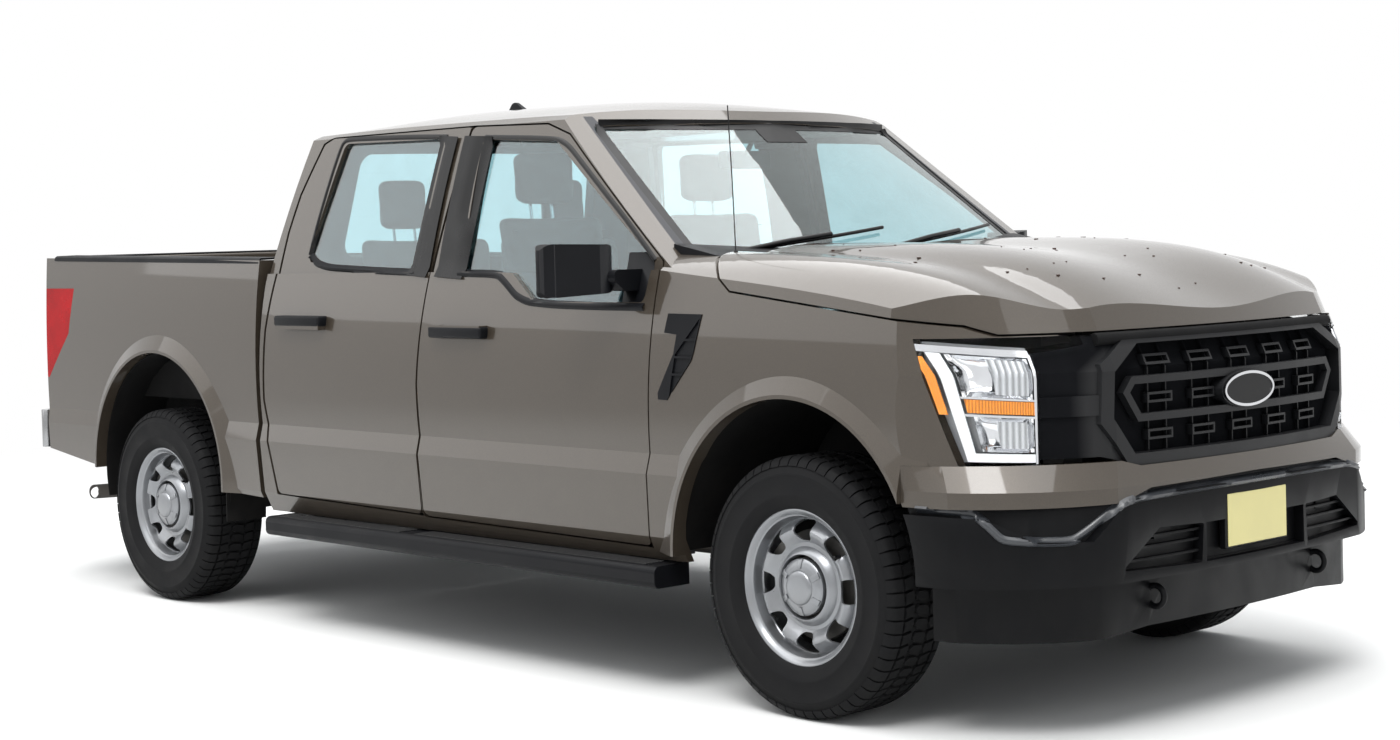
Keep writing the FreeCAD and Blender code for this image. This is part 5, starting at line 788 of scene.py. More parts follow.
CARCASS = ((0.226, -0.100), (0.238, -0.112), (0.252, -0.124), (0.272, -0.1295), (0.276, -0.1318),
           (0.282, -0.1318), (0.286, -0.1300), (0.312, -0.1320), (0.336, -0.1305), (0.339, -0.1318),
           (0.344, -0.1310), (0.346, -0.1290), (0.362, -0.1240), (0.374, -0.1160), (0.382, -0.1040),
           (0.3850, -0.0900), (0.3862, -0.0500))
TYRE_RADIUS = 0.395
TREAD_ROOT = 0.386
SIDE_LUG = ((-0.46, 1, 0.036), (-0.06, 1, 0.032), (0.42, 1, 0.040),
            (0.40, -1, 0.074), (-0.10, -1, 0.070), (-0.46, -1, 0.074))
SHOULDER_EDGE = ((0.1165, 0.383), (0.1265, 0.366), (0.1225, 0.364), (0.1100, 0.374))
CENTRE_LUG = ((-0.44, -0.016), (-0.12, -0.029), (0.20, -0.026), (0.42, -0.010),
              (0.38, 0.017), (0.06, 0.029), (-0.26, 0.026), (-0.40, 0.010))


def lug(name, outline, base, top):
    """A tread block from an outline of (along, across) points between two heights, narrower at its top."""
    piece = plate(name, [(along, across, base) for along, across in outline], (0, 0, top - base))
    edit(piece)
    pick_faces(piece, lambda centre, normal: normal.z > 0.9)
    bpy.ops.transform.resize(value=(0.90, 0.93, 1.0))
    leave()
    return piece


def make_tyre(look):
    """One tyre round the origin: a turned carcass with five rows of tread blocks."""
    profile = list(CARCASS) + [(radius, -along) for radius, along in reversed(CARCASS)]
    carcass = turned("tyre_body", profile, (0, 0, 0), (0, 1, 0), steps=112)
    pitch = math.tau * TREAD_ROOT / look.pitches
    base = TYRE_RADIUS - 0.002 - look.depth
    top = TYRE_RADIUS - 0.0005
    rows = []
    for side in (-1, 1):
        lean = 0.10 * pitch * side
        outline = [(share * pitch + way * lean, side * out) for share, way, out in SIDE_LUG]
        rows.append(lug("block", outline, base, top))
        edge = ((0.080, base), (0.080, top), (0.104, top - 0.003)) + SHOULDER_EDGE
        outline = [(-0.43 * pitch, side * out, height) for out, height in edge]
        rows.append(plate("shoulder", outline, (0.86 * pitch, 0, 0)))
    rows.append(lug("block", [(share * pitch, out) for share, out in CENTRE_LUG], base, top))
    blocks = repeated(faced_out(joined("tread", rows)), look.pitches, (0, 0, 0), (0, 1, 0))
    return joined("tyre", [carcass, blocks])


class TRUCK_OT_tyres(bpy.types.Operator):
    """Models one tyre with its tread and fits it to all four wheels and the spare."""
    bl_idname = "truck.tyres"
    bl_label = "Tyres"

    def execute(self, context):
        first = make_tyre(context.scene.truck_tyres)
        for axle, side, sign, hub in WHEELS:
            turn = (0, 0.21 * (hub.x > 0), 0)
            piece = moved(first, hub, turn, "tyre_%s_%s_tread" % (axle, side))
            done(piece, "wheel_%s_%s" % (axle, side), "tyre", 32)
            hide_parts("tyre_%s_%s" % (axle, side))
        low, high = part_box("spare_wheel")
        lying = (math.pi / 2, 0, 0)
        spare = moved(first, ((low.x + high.x) / 2, 0, low.z + TYRE_HALF), lying, "spare_tread")
        done(spare, "body", "tyre", 32)
        bpy.data.objects.remove(first)
        return {"FINISHED"}


RIM_PROFILE = (
    (0.0930, 0.080), (0.0980, 0.094), (0.1080, 0.088), (0.1200, 0.070), (0.1320, 0.068), (0.1480, 0.082),
    (0.1620, 0.093), (0.1720, 0.094), (0.1850, 0.084), (0.1960, 0.066), (0.2020, 0.058), (0.2065, 0.064),
    (0.2090, 0.082), (0.2130, 0.093), (0.2200, 0.097), (0.2240, 0.106), (0.2330, 0.1105), (0.2372, 0.1090),
    (0.2372, 0.1045), (0.2290, 0.1010), (0.2270, 0.092), (0.2190, 0.088), (0.2160, 0.070), (0.2160, -0.060),
    (0.2300, -0.100), (0.2372, -0.1045), (0.2372, -0.1100), (0.2240, -0.1080), (0.2100, -0.062),
    (0.2080, 0.020), (0.2040, 0.046), (0.1940, 0.058), (0.1830, 0.077), (0.1710, 0.0875), (0.1630, 0.0865),
    (0.1500, 0.076), (0.1340, 0.062), (0.1180, 0.064), (0.1060, 0.081), (0.0990, 0.086), (0.0955, 0.078))
WINDOW = ((-0.014, 0.1380), (0.014, 0.1380), (0.0250, 0.1450), (0.0340, 0.1620), (0.0375, 0.1800),
          (0.0350, 0.1930), (0.0240, 0.2000), (-0.0240, 0.2000), (-0.0350, 0.1930), (-0.0375, 0.1800),
          (-0.0340, 0.1620), (-0.0250, 0.1450))
WINDOWS = 8


def make_rim():
    """A stamped steel wheel round the origin, facing +Y: a turned section with windows cut through it."""
    rim = turned("rim", RIM_PROFILE, (0, 0, 0), (0, 1, 0), 96)
    cutter = plate("window", [(out, 0.03, radius) for out, radius in WINDOW], (0, 0.09, 0), 0.004, 2)
    cutter = repeated(cutter, WINDOWS, (0, 0, 0), (0, 1, 0))
    shaped(rim, "BOOLEAN", object=cutter, solver="EXACT")
    bpy.data.objects.remove(cutter)
    return shaped(rim, "BEVEL", width=0.0022, segments=2, angle_limit=math.radians(50))


class TRUCK_OT_rims(bpy.types.Operator):
    """Models one stamped steel wheel and fits it to all four hubs."""
    bl_idname = "truck.rims"
    bl_label = "Rims"

    def execute(self, context):
        first = make_rim()
        for axle, side, sign, hub in WHEELS:
            name = "rim_%s_%s" % (axle, side)
            piece = moved(first, hub, (0, 0, 0 if sign > 0 else math.pi), name + "_steel")
            done(piece, "wheel_%s_%s" % (axle, side), "wheel_silver", 40)
            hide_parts(name)
        bpy.data.objects.remove(first)
        return {"FINISHED"}


CAP = ((0.0005, 0.078), (0.0005, 0.120), (0.034, 0.1195), (0.046, 0.118), (0.0510, 0.114), (0.053, 0.1095),
       (0.066, 0.1075), (0.079, 0.103), (0.0855, 0.096), (0.0868, 0.084), (0.086, 0.078))
NOTCH = ((-0.008, 0.106, 0.058), (0.008, 0.106, 0.058), (0.010, 0.096, 0.0845), (-0.010, 0.096, 0.0845))
DISC = ((0.075, 0.012), (0.165, 0.012), (0.168, 0.015), (0.168, 0.033),
        (0.165, 0.036), (0.092, 0.036), (0.090, 0.050), (0.075, 0.050))
SHIELD = ((0.080, -0.006), (0.196, -0.006), (0.199, 0.004), (0.197, 0.004), (0.193, -0.002), (0.080, -0.002))
CALIPER = ((0.100, 0.5), (0.182, 0.62), (0.186, 1.05), (0.182, 1.5), (0.100, 1.62))


class TRUCK_OT_wheel_details(bpy.types.Operator):
    """Adds the centre caps with their notches, brake discs, dust shields, valves and calipers."""
    bl_idname = "truck.wheel_details"
    bl_label = "Wheel details"

    def execute(self, context):
        for axle, side, sign, hub in WHEELS:
            wheel = "wheel_%s_%s" % (axle, side)
            carrier = "knuckle_%s" % side if axle == "front" else "body"
            out = (0, sign, 0)
            cap = turned("cap", CAP, hub, out, 48)
            notch = plate("notch", [hub + Vector((along, sign * face, up)) for along, face, up in NOTCH],
                          (0, sign * 0.0075, 0), 0.0016, 2)
            notch = repeated(notch, 6, hub, (0, 1, 0))
            done(notch, wheel, "wheel_silver").name = "cap_notches_%s_%s" % (axle, side)
            done(cap, wheel, "wheel_silver").name = "cap_%s_%s" % (axle, side)
            disc = turned("disc", DISC, hub, out, 64)
            done(disc, wheel, "iron").name = "brake_disc_%s_%s" % (axle, side)
            shield = turned("shield", SHIELD, hub, out, 48)
            done(shield, carrier, "liner_plastic").name = "dust_shield_%s_%s" % (axle, side)
            valve = tube("valve", [hub + Vector((0.150, sign * 0.088, 0.105)),
                                   hub + Vector((0.150, sign * 0.112, 0.105))], 0.0045)
            done(valve, wheel, "satin_black").name = "valve_%s_%s" % (axle, side)
            shell = [hub + Vector((-radius * math.sin(turn), sign * -0.004, radius * math.cos(turn)))
                     for radius, turn in CALIPER]
            caliper = plate("caliper", shell, (0, sign * 0.058, 0), bevel=0.008)
            done(caliper, carrier, "iron").name = "caliper_%s_%s" % (axle, side)
        return {"FINISHED"}


# Lamps

LAMP_MIDDLE = (0.2749, 0.35628)
LAMP_REACH = 0.64982
# The outer and inner edge as turns in degrees, the foot and head as levels, and the lean of the top
LAMP_OUTER = 61.2
LAMP_SLANT = 11.0
LAMP_INNER = 40.9
LAMP_FOOT = 0.795
LAMP_HEAD = 1.138
LAMP_LEAN = 0.45
LAMP_LEAN_LEVEL = 1.040


def lamp_point(share_in, up, inset):
    """A point of the left headlamp, by its share inward from the slanting outer edge, share up and inset."""
    outer = LAMP_OUTER + LAMP_SLANT * up
    turn = math.radians(outer - share_in * (outer - LAMP_INNER))
    low = LAMP_FOOT - 0.006 * share_in
    high = LAMP_HEAD - 0.030 * share_in
    level = low + up * (high - low)
    lean = LAMP_LEAN * max(0.0, level - LAMP_LEAN_LEVEL)
    reach = LAMP_REACH - inset
    return Vector((AXLE + LAMP_MIDDLE[0] + reach * math.cos(turn) - lean,
                   LAMP_MIDDLE[1] + reach * math.sin(turn), level))


def lamp_patch(name, inward, upward, inset, wall, cells=(14, 6)):
    """A curved plate of the left headlamp between two shares inward and two upward."""

    def lay(along, up):
        along, up = (along + 1) / 2, (up + 1) / 2
        return lamp_point(inward[0] + along * (inward[1] - inward[0]),
                          upward[0] + up * (upward[1] - upward[0]), inset)

    return thickened(sheet(name, *cells, lay), wall)


def reflector_bowl(name, inward, upward, depth):
    """A stepped bowl of the left headlamp, deepest in its middle."""

    def lay(along, up):
        hollow = (1 - along ** 4) * (1 - up ** 4)
        step = 0.35 * abs(math.sin(along * 9.0)) * (1 - along ** 2)
        return lamp_point(inward[0] + (along + 1) / 2 * (inward[1] - inward[0]),
                          upward[0] + (up + 1) / 2 * (upward[1] - upward[0]),
                          0.012 + depth * (hollow - 0.1 * step))

    return thickened(sheet(name, 28, 10, lay), 0.002)


# Each plate: shares inward and upward, inset, wall, cells, slot and material
# Each bowl: shares inward and upward, depth, slot and material
LAMP_PARTS = (
    ("lamp_housing", (0.0, 1.0), (0.0, 1.0), 0.052, 0.004, (30, 12), "bumper_steel", "lamp_grey"),
    ("lamp_upper_bowl", (0.30, 0.965), (0.56, 0.915), 0.034, "bumper_steel", "reflector"),
    ("lamp_lower_bowl", (0.36, 0.965), (0.10, 0.395), 0.030, "bumper_steel", "reflector"),
    ("lamp_upper_lens", (0.62, 0.93), (0.59, 0.89), 0.012, 0.004, (14, 6), "lamp_clear", "clear_ribs"),
    ("lamp_lower_lens", (0.58, 0.90), (0.13, 0.36), 0.014, 0.004, (14, 6), "lamp_clear", "clear_ribs"),
    ("lamp_divider", (0.28, 1.0), (0.395, 0.415), 0.007, 0.006, (24, 2), "bumper_steel", "chrome"),
    ("lamp_divider_up", (0.28, 1.0), (0.545, 0.562), 0.007, 0.006, (24, 2), "bumper_steel", "chrome"),
    ("lamp_upright", (0.975, 1.0), (0.0, 0.95), 0.007, 0.006, (2, 14), "bumper_steel", "chrome"),
    ("lamp_turn_strip", (0.31, 0.975), (0.425, 0.540), 0.009, 0.006, (24, 3), "lamp_clear", "amber_ribs"),
    ("lamp_marker", (0.012, 0.105), (0.40, 0.88), 0.006, 0.006, (4, 12), "lamp_clear", "amber"),
    ("lamp_bar_side", (0.150, 0.275), (0.02, 0.92), 0.008, 0.008, (5, 16), "lamp_clear", "lamp_bar"),
    ("lamp_bar_foot", (0.150, 0.97), (0.012, 0.085), 0.008, 0.008, (24, 3), "lamp_clear", "lamp_bar"),
    ("lamp_brow", (0.06, 0.99), (0.925, 0.985), 0.005, 0.006, (24, 2), "bumper_steel", "chrome"))


class TRUCK_OT_headlamps(bpy.types.Operator):
    """Fills the headlamps: housings, reflector bowls, lenses, white bars, amber lamps and bright trim."""
    bl_idname = "truck.headlamps"
    bl_label = "Headlamps"

    def execute(self, context):
        parts = []
        for *form, slot, material in LAMP_PARTS:
            make = reflector_bowl if material == "reflector" else lamp_patch
            parts.append((make(*form), slot, material))
        for piece, slot, material in parts:
            name = piece.name
            done(across(piece, name + "_right"), "body", material)
            done(piece, "body", material).name = name + "_left"
        return {"FINISHED"}


def upright(x, sides, levels):
    """The corners of an upright rectangle that faces along the truck."""
    near, far = sides
    low, high = levels
    return [(x, near, low), (x, far, low), (x, far, high), (x, near, high)]


class TRUCK_OT_tail_lamps(bpy.types.Operator):
    """Adds the clear and ribbed panes of the tail lamps with their rims, and the high stop lamp."""
    bl_idname = "truck.tail_lamps"
    bl_label = "Tail lamps"

    def execute(self, context):
        panes = (("tail_white", 0.955, 1.045, "clear_ribs"), ("tail_ribs", 1.065, 1.245, "red_ribs"))
        for side, sign in SIDES:
            for name, low, high, material in panes:
                outline = upright(-0.003, (sign * 0.79, sign * 0.91), (low, high))
                rim = subdivided(ring_plate(name, outline, 0.006, (0.004, 0, 0)), 3)
                draped(rim, "tail_lamps", (1, 0, 0))
                done(rim, "body", "chrome").name = "%s_rim_%s" % (name, side)
                outline = upright(-0.0025, (sign * 0.797, sign * 0.903), (low + 0.007, high - 0.007))
                pane = subdivided(plate(name, outline, (0.003, 0, 0)), 4)
                draped(pane, "tail_lamps", (1, 0, 0))
                done(pane, "body", material).name = "%s_%s" % (name, side)
        rim = block("high_stop_rim", (-0.779, -0.185, 1.866), (-0.762, 0.185, 1.902), 0.003)
        done(rim, "body", "satin_black")
        stop = block("high_stop_lamp", (-0.784, -0.17, 1.873), (-0.768, 0.17, 1.895), 0.004)
        done(stop, "body", "lamp_red")
        return {"FINISHED"}


# Side trim

def on_side(points):
    """Points measured from the front axle, in the truck's frame."""
    return [(AXLE + along, level) for along, level in points]


FRONT_SILL = ((-0.668, 1.228), (-0.90, 1.229), (-1.12, 1.233), (-1.262, 1.242), (-1.33, 1.263),
              (-1.390, 1.303), (-1.440, 1.332), (-1.50, 1.337), (-1.668, 1.340))
REAR_SILL = ((-1.930, 1.344), (-2.15, 1.351), (-2.35, 1.359), (-2.505, 1.366), (-2.585, 1.382),
             (-2.636, 1.412))
FRONT_HEAD = ((-0.656, 1.375), (-0.700, 1.412), (-0.828, 1.512), (-1.018, 1.648), (-1.178, 1.762),
              (-1.242, 1.789), (-1.40, 1.801), (-1.660, 1.815))
REAR_HEAD = ((-1.885, 1.828), (-2.10, 1.838), (-2.30, 1.844), (-2.526, 1.849), (-2.552, 1.835),
             (-2.566, 1.79), (-2.625, 1.50), (-2.640, 1.415))
# Each moulding: its door, line, width, height and material
DOOR_MOULDINGS = (("belt_front", "front", FRONT_SILL, 0.026, 0.008, "black_plastic"),
                  ("belt_rear", "rear", REAR_SILL, 0.026, 0.008, "black_plastic"),
                  ("seal_front", "front", FRONT_HEAD, 0.018, 0.004, "satin_black"),
                  ("seal_rear", "rear", REAR_HEAD, 0.018, 0.004, "satin_black"))
PILLAR_COVERS = (("pillar_front", "front", ((-1.720, 1.325), (-1.691, 1.822)), 0.160),
                 ("pillar_rear", "rear", ((-1.909, 1.332), (-1.868, 1.830)), 0.114))
HANDLES = (("handle_front", "front", -1.762, -1.469, 1.137), ("handle_rear", "rear", -2.750, -2.456, 1.166))
HANDLE_CUP = ((0.0005, 0.0008), (0.030, 0.0014), (0.047, 0.0032), (0.052, 0.0022), (0.053, -0.002),
              (0.0005, -0.002))
ANTENNA_FOOT = ((0.0005, 0.0), (0.0005, 0.030), (0.006, 0.029), (0.011, 0.016), (0.017, 0.004), (0.017, 0.0))
# Where rays towards the flanks start from, and the handle grip's half height, overhang and corner radius
FLANK = 0.9
GRIP_HALF = 0.0205
GRIP_OVER = 0.004
GRIP_ROUND = 0.0095


class TRUCK_OT_side_trim(bpy.types.Operator):
    """Lays belt mouldings, window seals, pillar covers and handles on the doors, and adds the antenna."""
    bl_idname = "truck.side_trim"
    bl_label = "Side trim"

    def execute(self, context):
        for side, sign in SIDES:
            inward = Vector((0, -sign, 0))
            for name, door, points, width, height, material in DOOR_MOULDINGS:
                hosts = ["door_%s_%s" % (door, side), "glass_%s_%s" % (door, side)]
                path = [(along, sign * FLANK, level) for along, level in on_side(points)]
                piece = ribbon(name, path, width, height, hosts, inward)
                done(piece, hosts[0], material, 50).name = "%s_%s" % (name, side)
            for name, door, points, width in PILLAR_COVERS:
                hosts = ["door_%s_%s" % (door, side), "glass_%s_%s" % (door, side)]
                path = [(along, sign * FLANK, level) for along, level in on_side(points)]
                piece = ribbon(name, path, width, 0.0085, hosts, inward, steps=14, flat=True)
                done(piece, hosts[0], "satin_black", 50).name = "%s_%s" % (name, side)
            for name, door, start, end, level in HANDLES:
                self.handle(name, "door_%s_%s" % (door, side), side, sign, (start, end), level)
        self.antenna()
        return {"FINISHED"}

    def handle(self, name, door, side, sign, ends, level):
        """A round cup in the door's skin, and a grip that encloses the door's plain handle."""
        start, end = ends
        inward = Vector((0, -sign, 0))
        middle = Vector((AXLE + (start + end) / 2 - 0.02, sign * FLANK, level + 0.075))
        skin = abs(surface(middle, [door], inward).y)
        cup = turned("cup", HANDLE_CUP, (middle.x, sign * skin, level), inward * -1, 40)
        done(cup, door, "door_paint", 60).name = "%s_cup_%s" % (name, side)
        face = max(abs(surface(Vector((AXLE + along, sign * FLANK, level + rise)), [door], inward).y)
                   for along in (start + 0.03, (start + end) / 2, end - 0.03)
                   for rise in (-0.012, 0.0, 0.012))
        near, far = sorted((sign * (skin + 0.001), sign * (max(face, skin + 0.030) + 0.0025)))
        grip = block("grip", (AXLE + start - GRIP_OVER, near, level - GRIP_HALF),
                     (AXLE + end + GRIP_OVER, far, level + GRIP_HALF), GRIP_ROUND, 3)
        done(grip, door, "black_plastic").name = "%s_%s" % (name, side)

    def antenna(self):
        """The whip antenna and its foot on the right fender."""
        base = Vector((AXLE - 0.412, -0.80, 1.372))
        foot = turned("antenna_foot", ANTENNA_FOOT, base, (0, 0, 1), 24)
        line = ((0, 0, 0.02), (-0.008, 0, 0.25), (-0.020, 0, 0.485))
        whip = tube("antenna_whip", [base + Vector(point) for point in line], 0.0019)
        done(joined("antenna", [foot, whip]), "body", "satin_black")


# Mirrors

# Each corner of the mirror glass: out from the middle, and level
MIRROR_GLASS = ((1.030, 1.272), (1.168, 1.262), (1.188, 1.285), (1.188, 1.392), (1.158, 1.416),
                (1.050, 1.416), (1.030, 1.398))


class TRUCK_OT_mirrors(bpy.types.Operator):
    """Adds the mirror glasses and their frames."""
    bl_idname = "truck.mirrors"
    bl_label = "Mirrors"

    def execute(self, context):
        for side, sign in SIDES:
            host = "mirror_" + side
            outline = [(0, sign * out, level) for out, level in MIRROR_GLASS]
            pane = draped(subdivided(plate("mirror_glass", outline, (-0.002, 0, 0)), 2), host, (1, 0, 0))
            done(pane, "door_front_" + side, "chrome").name = "mirror_glass_" + side
            rim = ring_plate("mirror_rim", outline, 0.006, (-0.004, 0, 0))
            draped(subdivided(rim, 2), host, (1, 0, 0))
            done(rim, "door_front_" + side, "satin_black").name = "mirror_rim_" + side
        return {"FINISHED"}


# Windscreen, cowl and roof

SCREEN_FOOT = (0.812, 1.350)
SCREEN_HEAD = (0.712, 1.836)
# Each strip of the black border: its two ends and its width
SCREEN_BORDER = (
    ((1.5, *SCREEN_FOOT), (1.5, -SCREEN_FOOT[0], SCREEN_FOOT[1]), 0.050),
    ((0.8, *SCREEN_HEAD), (0.8, -SCREEN_HEAD[0], SCREEN_HEAD[1]), 0.036),
    ((1.4, *SCREEN_FOOT), (0.8, *SCREEN_HEAD), 0.030),
    ((1.4, -SCREEN_FOOT[0], SCREEN_FOOT[1]), (0.8, -SCREEN_HEAD[0], SCREEN_HEAD[1]), 0.030),
    ((0.85, 0.10, 1.800), (0.85, -0.10, 1.800), 0.055))
# Each wiper: from its pivot to its tip across the truck
WIPERS = ((-0.56, 0.02), (0.10, 0.70))
WIPER_STEPS = 12


class TRUCK_OT_screen(bpy.types.Operator):
    """Adds the wipers, the screen's black border, the sensor box, cabin mirror, visors and grab handles."""
    bl_idname = "truck.screen"
    bl_label = "Windscreen and cowl"

    def on_glass(self, out, level, stand):
        """A point that stands off the windscreen."""
        return cast("cab_glass", (6.0, out, level), (-1, 0, 0)) + Vector((0.45, 0, 0.89)) * stand

    def execute(self, context):
        for index, (pivot, tip) in enumerate(WIPERS):
            line = []
            for step in range(WIPER_STEPS + 1):
                share = step / WIPER_STEPS
                line.append(self.on_glass(pivot + share * (tip - pivot), 1.392 + 0.055 * share, 0.016))
            blade = tube("wiper_blade_%d" % index, line, 0.0062)
            arm_line = [self.on_glass(pivot - 0.10, 1.385, 0.012)]
            arm_line += [point + Vector((0.012, 0, 0.010)) for point in line[2:8:2]]
            arm = tube("wiper_arm_%d" % index, arm_line, 0.0085)
            wiper = joined("wiper_%d" % index, [blade, arm])
            done(wiper, "body", "satin_black", 60)
        back = Vector((-1, 0, 0))
        border = [ribbon("border", (start, end), width, 0.0012, ["cab_glass"], back, steps=16, flat=True)
                  for start, end, width in SCREEN_BORDER]
        done(joined("screen_border", border), "body", "satin_black", 50)
        sensors = block("sensor_box", (0.80, -0.060, 1.775), (0.93, 0.060, 1.835), 0.012)
        done(sensors, "body", "cabin_plastic")
        mirror = block("cabin_mirror", (0.780, -0.125, 1.685), (0.805, 0.125, 1.750), 0.012)
        stem = tube("stem", [(0.800, 0, 1.735), (0.84, 0, 1.79)], 0.009)
        done(joined("cabin_mirror", [mirror, stem]), "body", "cabin_plastic")
        for side, sign in SIDES:
            visor = block("visor_" + side, (0.60, sign * 0.385 - 0.20, 1.812),
                          (0.79, sign * 0.385 + 0.20, 1.835), 0.008)
            done(visor, "body", "headliner")
            handle = tube("grab", [(0.15, sign * 0.690, 1.832), (0.18, sign * 0.662, 1.796),
                                   (0.34, sign * 0.658, 1.790), (0.37, sign * 0.690, 1.824)], 0.009)
            done(handle, "body", "cabin_plastic", 60).name = "grab_handle_" + side
        return {"FINISHED"}


# Seats and cabin

def cushion(name, low, high, look, back_lean):
    """A soft block as a closed form that a cloth simulation fills out."""
    low, high = Vector(low), Vector(high)
    inset = Vector((1, 1, 1)) * look.swell * 0.5
    start = block(name, low + inset, high - inset, 0.028, 3)
    middle = (low + high) / 2
    half = (high - low) / 2
    for vertex in start.data.vertices:
        share = vertex.co - middle
        pinch = 1 - 0.05 * (abs(share.x / half.x) ** 3) * (abs(share.y / half.y) ** 3)
        vertex.co.x = middle.x + share.x * pinch + (vertex.co.z - low.z) * -back_lean
        vertex.co.y = middle.y + share.y * pinch
    return shaped(start, "REMESH", mode="VOXEL", voxel_size=look.voxel)


FILL_STEPS = 20


def filled(piece, look):
    """Swells a cover by a cloth simulation, capped at the swell setting."""
    before = [vertex.co.copy() for vertex in piece.data.vertices]
    choose(piece)
    cloth = piece.modifiers.new("Cloth", "CLOTH")
    cloth.settings.use_pressure = True
    cloth.settings.uniform_pressure_force = 4.0
    cloth.settings.effector_weights.gravity = 0.0
    cloth.settings.quality = 5
    cloth.point_cache.frame_start = 1
    cloth.point_cache.frame_end = FILL_STEPS
    for step in range(1, FILL_STEPS + 1):
        bpy.context.scene.frame_set(step)
    bpy.ops.object.modifier_apply(modifier=cloth.name)
    bpy.context.scene.frame_set(1)
    for vertex, start in zip(piece.data.vertices, before):
        push = vertex.co - start
        if push.length > look.swell:
            vertex.co = start + push.normalized() * look.swell
    return piece


def covered(piece):
    """Finishes a filled cover as a padded piece that stands for the plain seats."""
    shaped(piece, "SMOOTH", factor=0.5, iterations=4)
    shaped(piece, "SUBSURF", levels=1, render_levels=1)
    done(piece, "body", "seat_cloth", 60)
    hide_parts("seats")


SEAT_MIDDLE = 0.41
SEAM_X = 0.232
# Each left pad: its low and high corner and how far it leans back
PADS = (
    ("front_cushion", (0.345, 0.155, 0.835), (0.865, 0.665, 0.985), 0.0),
    ("front_backrest", (0.235, 0.165, 0.960), (0.345, 0.655, 1.555), 0.20),
    ("front_headrest", (0.105, SEAT_MIDDLE - 0.135, 1.575), (0.205, SEAT_MIDDLE + 0.135, 1.775), 0.05),
    ("rear_cushion", (-0.580, 0.02, 0.835), (-0.070, 0.665, 0.985), 0.0),
    ("rear_backrest", (-0.680, 0.02, 0.960), (-0.580, 0.665, 1.490), 0.12),
    ("rear_headrest", (-0.785, SEAT_MIDDLE - 0.115, 1.500), (-0.695, SEAT_MIDDLE + 0.115, 1.705), 0.05))
SEAT_BASES = (("front_seat_base", (0.40, 0.20, 0.625), (0.80, 0.62, 0.845)),
              ("rear_seat_base", (-0.56, 0.05, 0.625), (-0.12, 0.62, 0.845)))
# Each pair of headrest posts: place along the truck, top and foot
POSTS = (("front_posts", 0.125, 1.60, 1.53), ("rear_posts", -0.745, 1.53, 1.46))


class TRUCK_OT_seats(bpy.types.Operator):
    """Models the seats: simulated cushions, backrests and headrests, with plain bases, posts and a seam."""
    bl_idname = "truck.seats"
    bl_label = "Seats"

    def execute(self, context):
        look = context.scene.truck_seats
        for name, low, high, lean in PADS:
            piece = filled(cushion(name, low, high, look, lean), look)
            covered(across(piece, name + "_right"))
            piece.name = name + "_left"
            covered(piece)
        for side, sign in SIDES:
            for name, low, high in SEAT_BASES:
                near, far = sorted((sign * low[1], sign * high[1]))
                base = block(name, (low[0], near, low[2]), (high[0], far, high[2]), 0.02)
                done(base, "body", "cabin_plastic").name = "%s_%s" % (name, side)
            for name, x, top, foot in POSTS:
                posts = [tube(name, [(x + 0.01, sign * SEAT_MIDDLE + shift, foot),
                                     (x, sign * SEAT_MIDDLE + shift, top)], 0.006)
                         for shift in (-0.05, 0.05)]
                done(joined(name, posts), "body", "chrome", 60).name = "%s_%s" % (name, side)
            seam = tube("front_seam", [(SEAM_X, sign * 0.19, 1.485), (SEAM_X, sign * 0.63, 1.485)], 0.0022)
            done(seam, "body", "satin_black", 60).name = "front_seam_%s" % side
        return {"FINISHED"}


# The instrument hood's outline, from its right foot over its top to its left foot
HOOD_FORM = ((0.21, 1.300), (0.235, 1.345), (0.30, 1.362), (0.46, 1.362), (0.525, 1.345), (0.55, 1.300))


class TRUCK_OT_cabin(bpy.types.Operator):
    """Adds the instrument hood, the dashboard's screen, the console with its lid and the headlining."""
    bl_idname = "truck.cabin"
    bl_label = "Cabin"

    def execute(self, context):
        hood = plate("instrument_hood", [(1.10, y, z) for y, z in HOOD_FORM], (-0.12, 0, -0.02), 0.008)
        screen = block("dash_screen", (0.955, -0.135, 1.185), (0.985, 0.135, 1.300), 0.006)
        done(hood, "body", "cabin_plastic")
        done(screen, "body", "satin_black")
        console = block("console", (0.36, -0.115, 0.625), (0.90, 0.115, 0.955), 0.02)
        lid = block("console_lid", (0.37, -0.105, 0.950), (0.62, 0.105, 0.990), 0.015)
        done(console, "body", "cabin_plastic")
        done(lid, "body", "cabin_plastic")
        shade = block("headlining", (-0.80, -0.66, 1.855), (0.60, 0.66, 1.862), 0.003)
        done(shade, "body", "headliner")
        return {"FINISHED"}


BADGE_LEVEL = 0.955
PLATE_HALF = 0.152
# The ledge's line on the left side, from the wheel arch to the middle
LEDGE = ((2.47, 0.990, 0.664), (2.58, 0.955, 0.662), (2.640, 0.928, 0.656), (2.680, 0.915, 0.620),
         (2.715, 0.905, 0.586), (2.77, 0.82, 0.578), (2.826, 0.735, 0.576), (2.860, 0.690, 0.610),
         (2.895, 0.605, 0.672), (2.915, 0.540, 0.684), (2.935, 0.28, 0.688), (2.940, 0, 0.689))


# Front, bed and steps

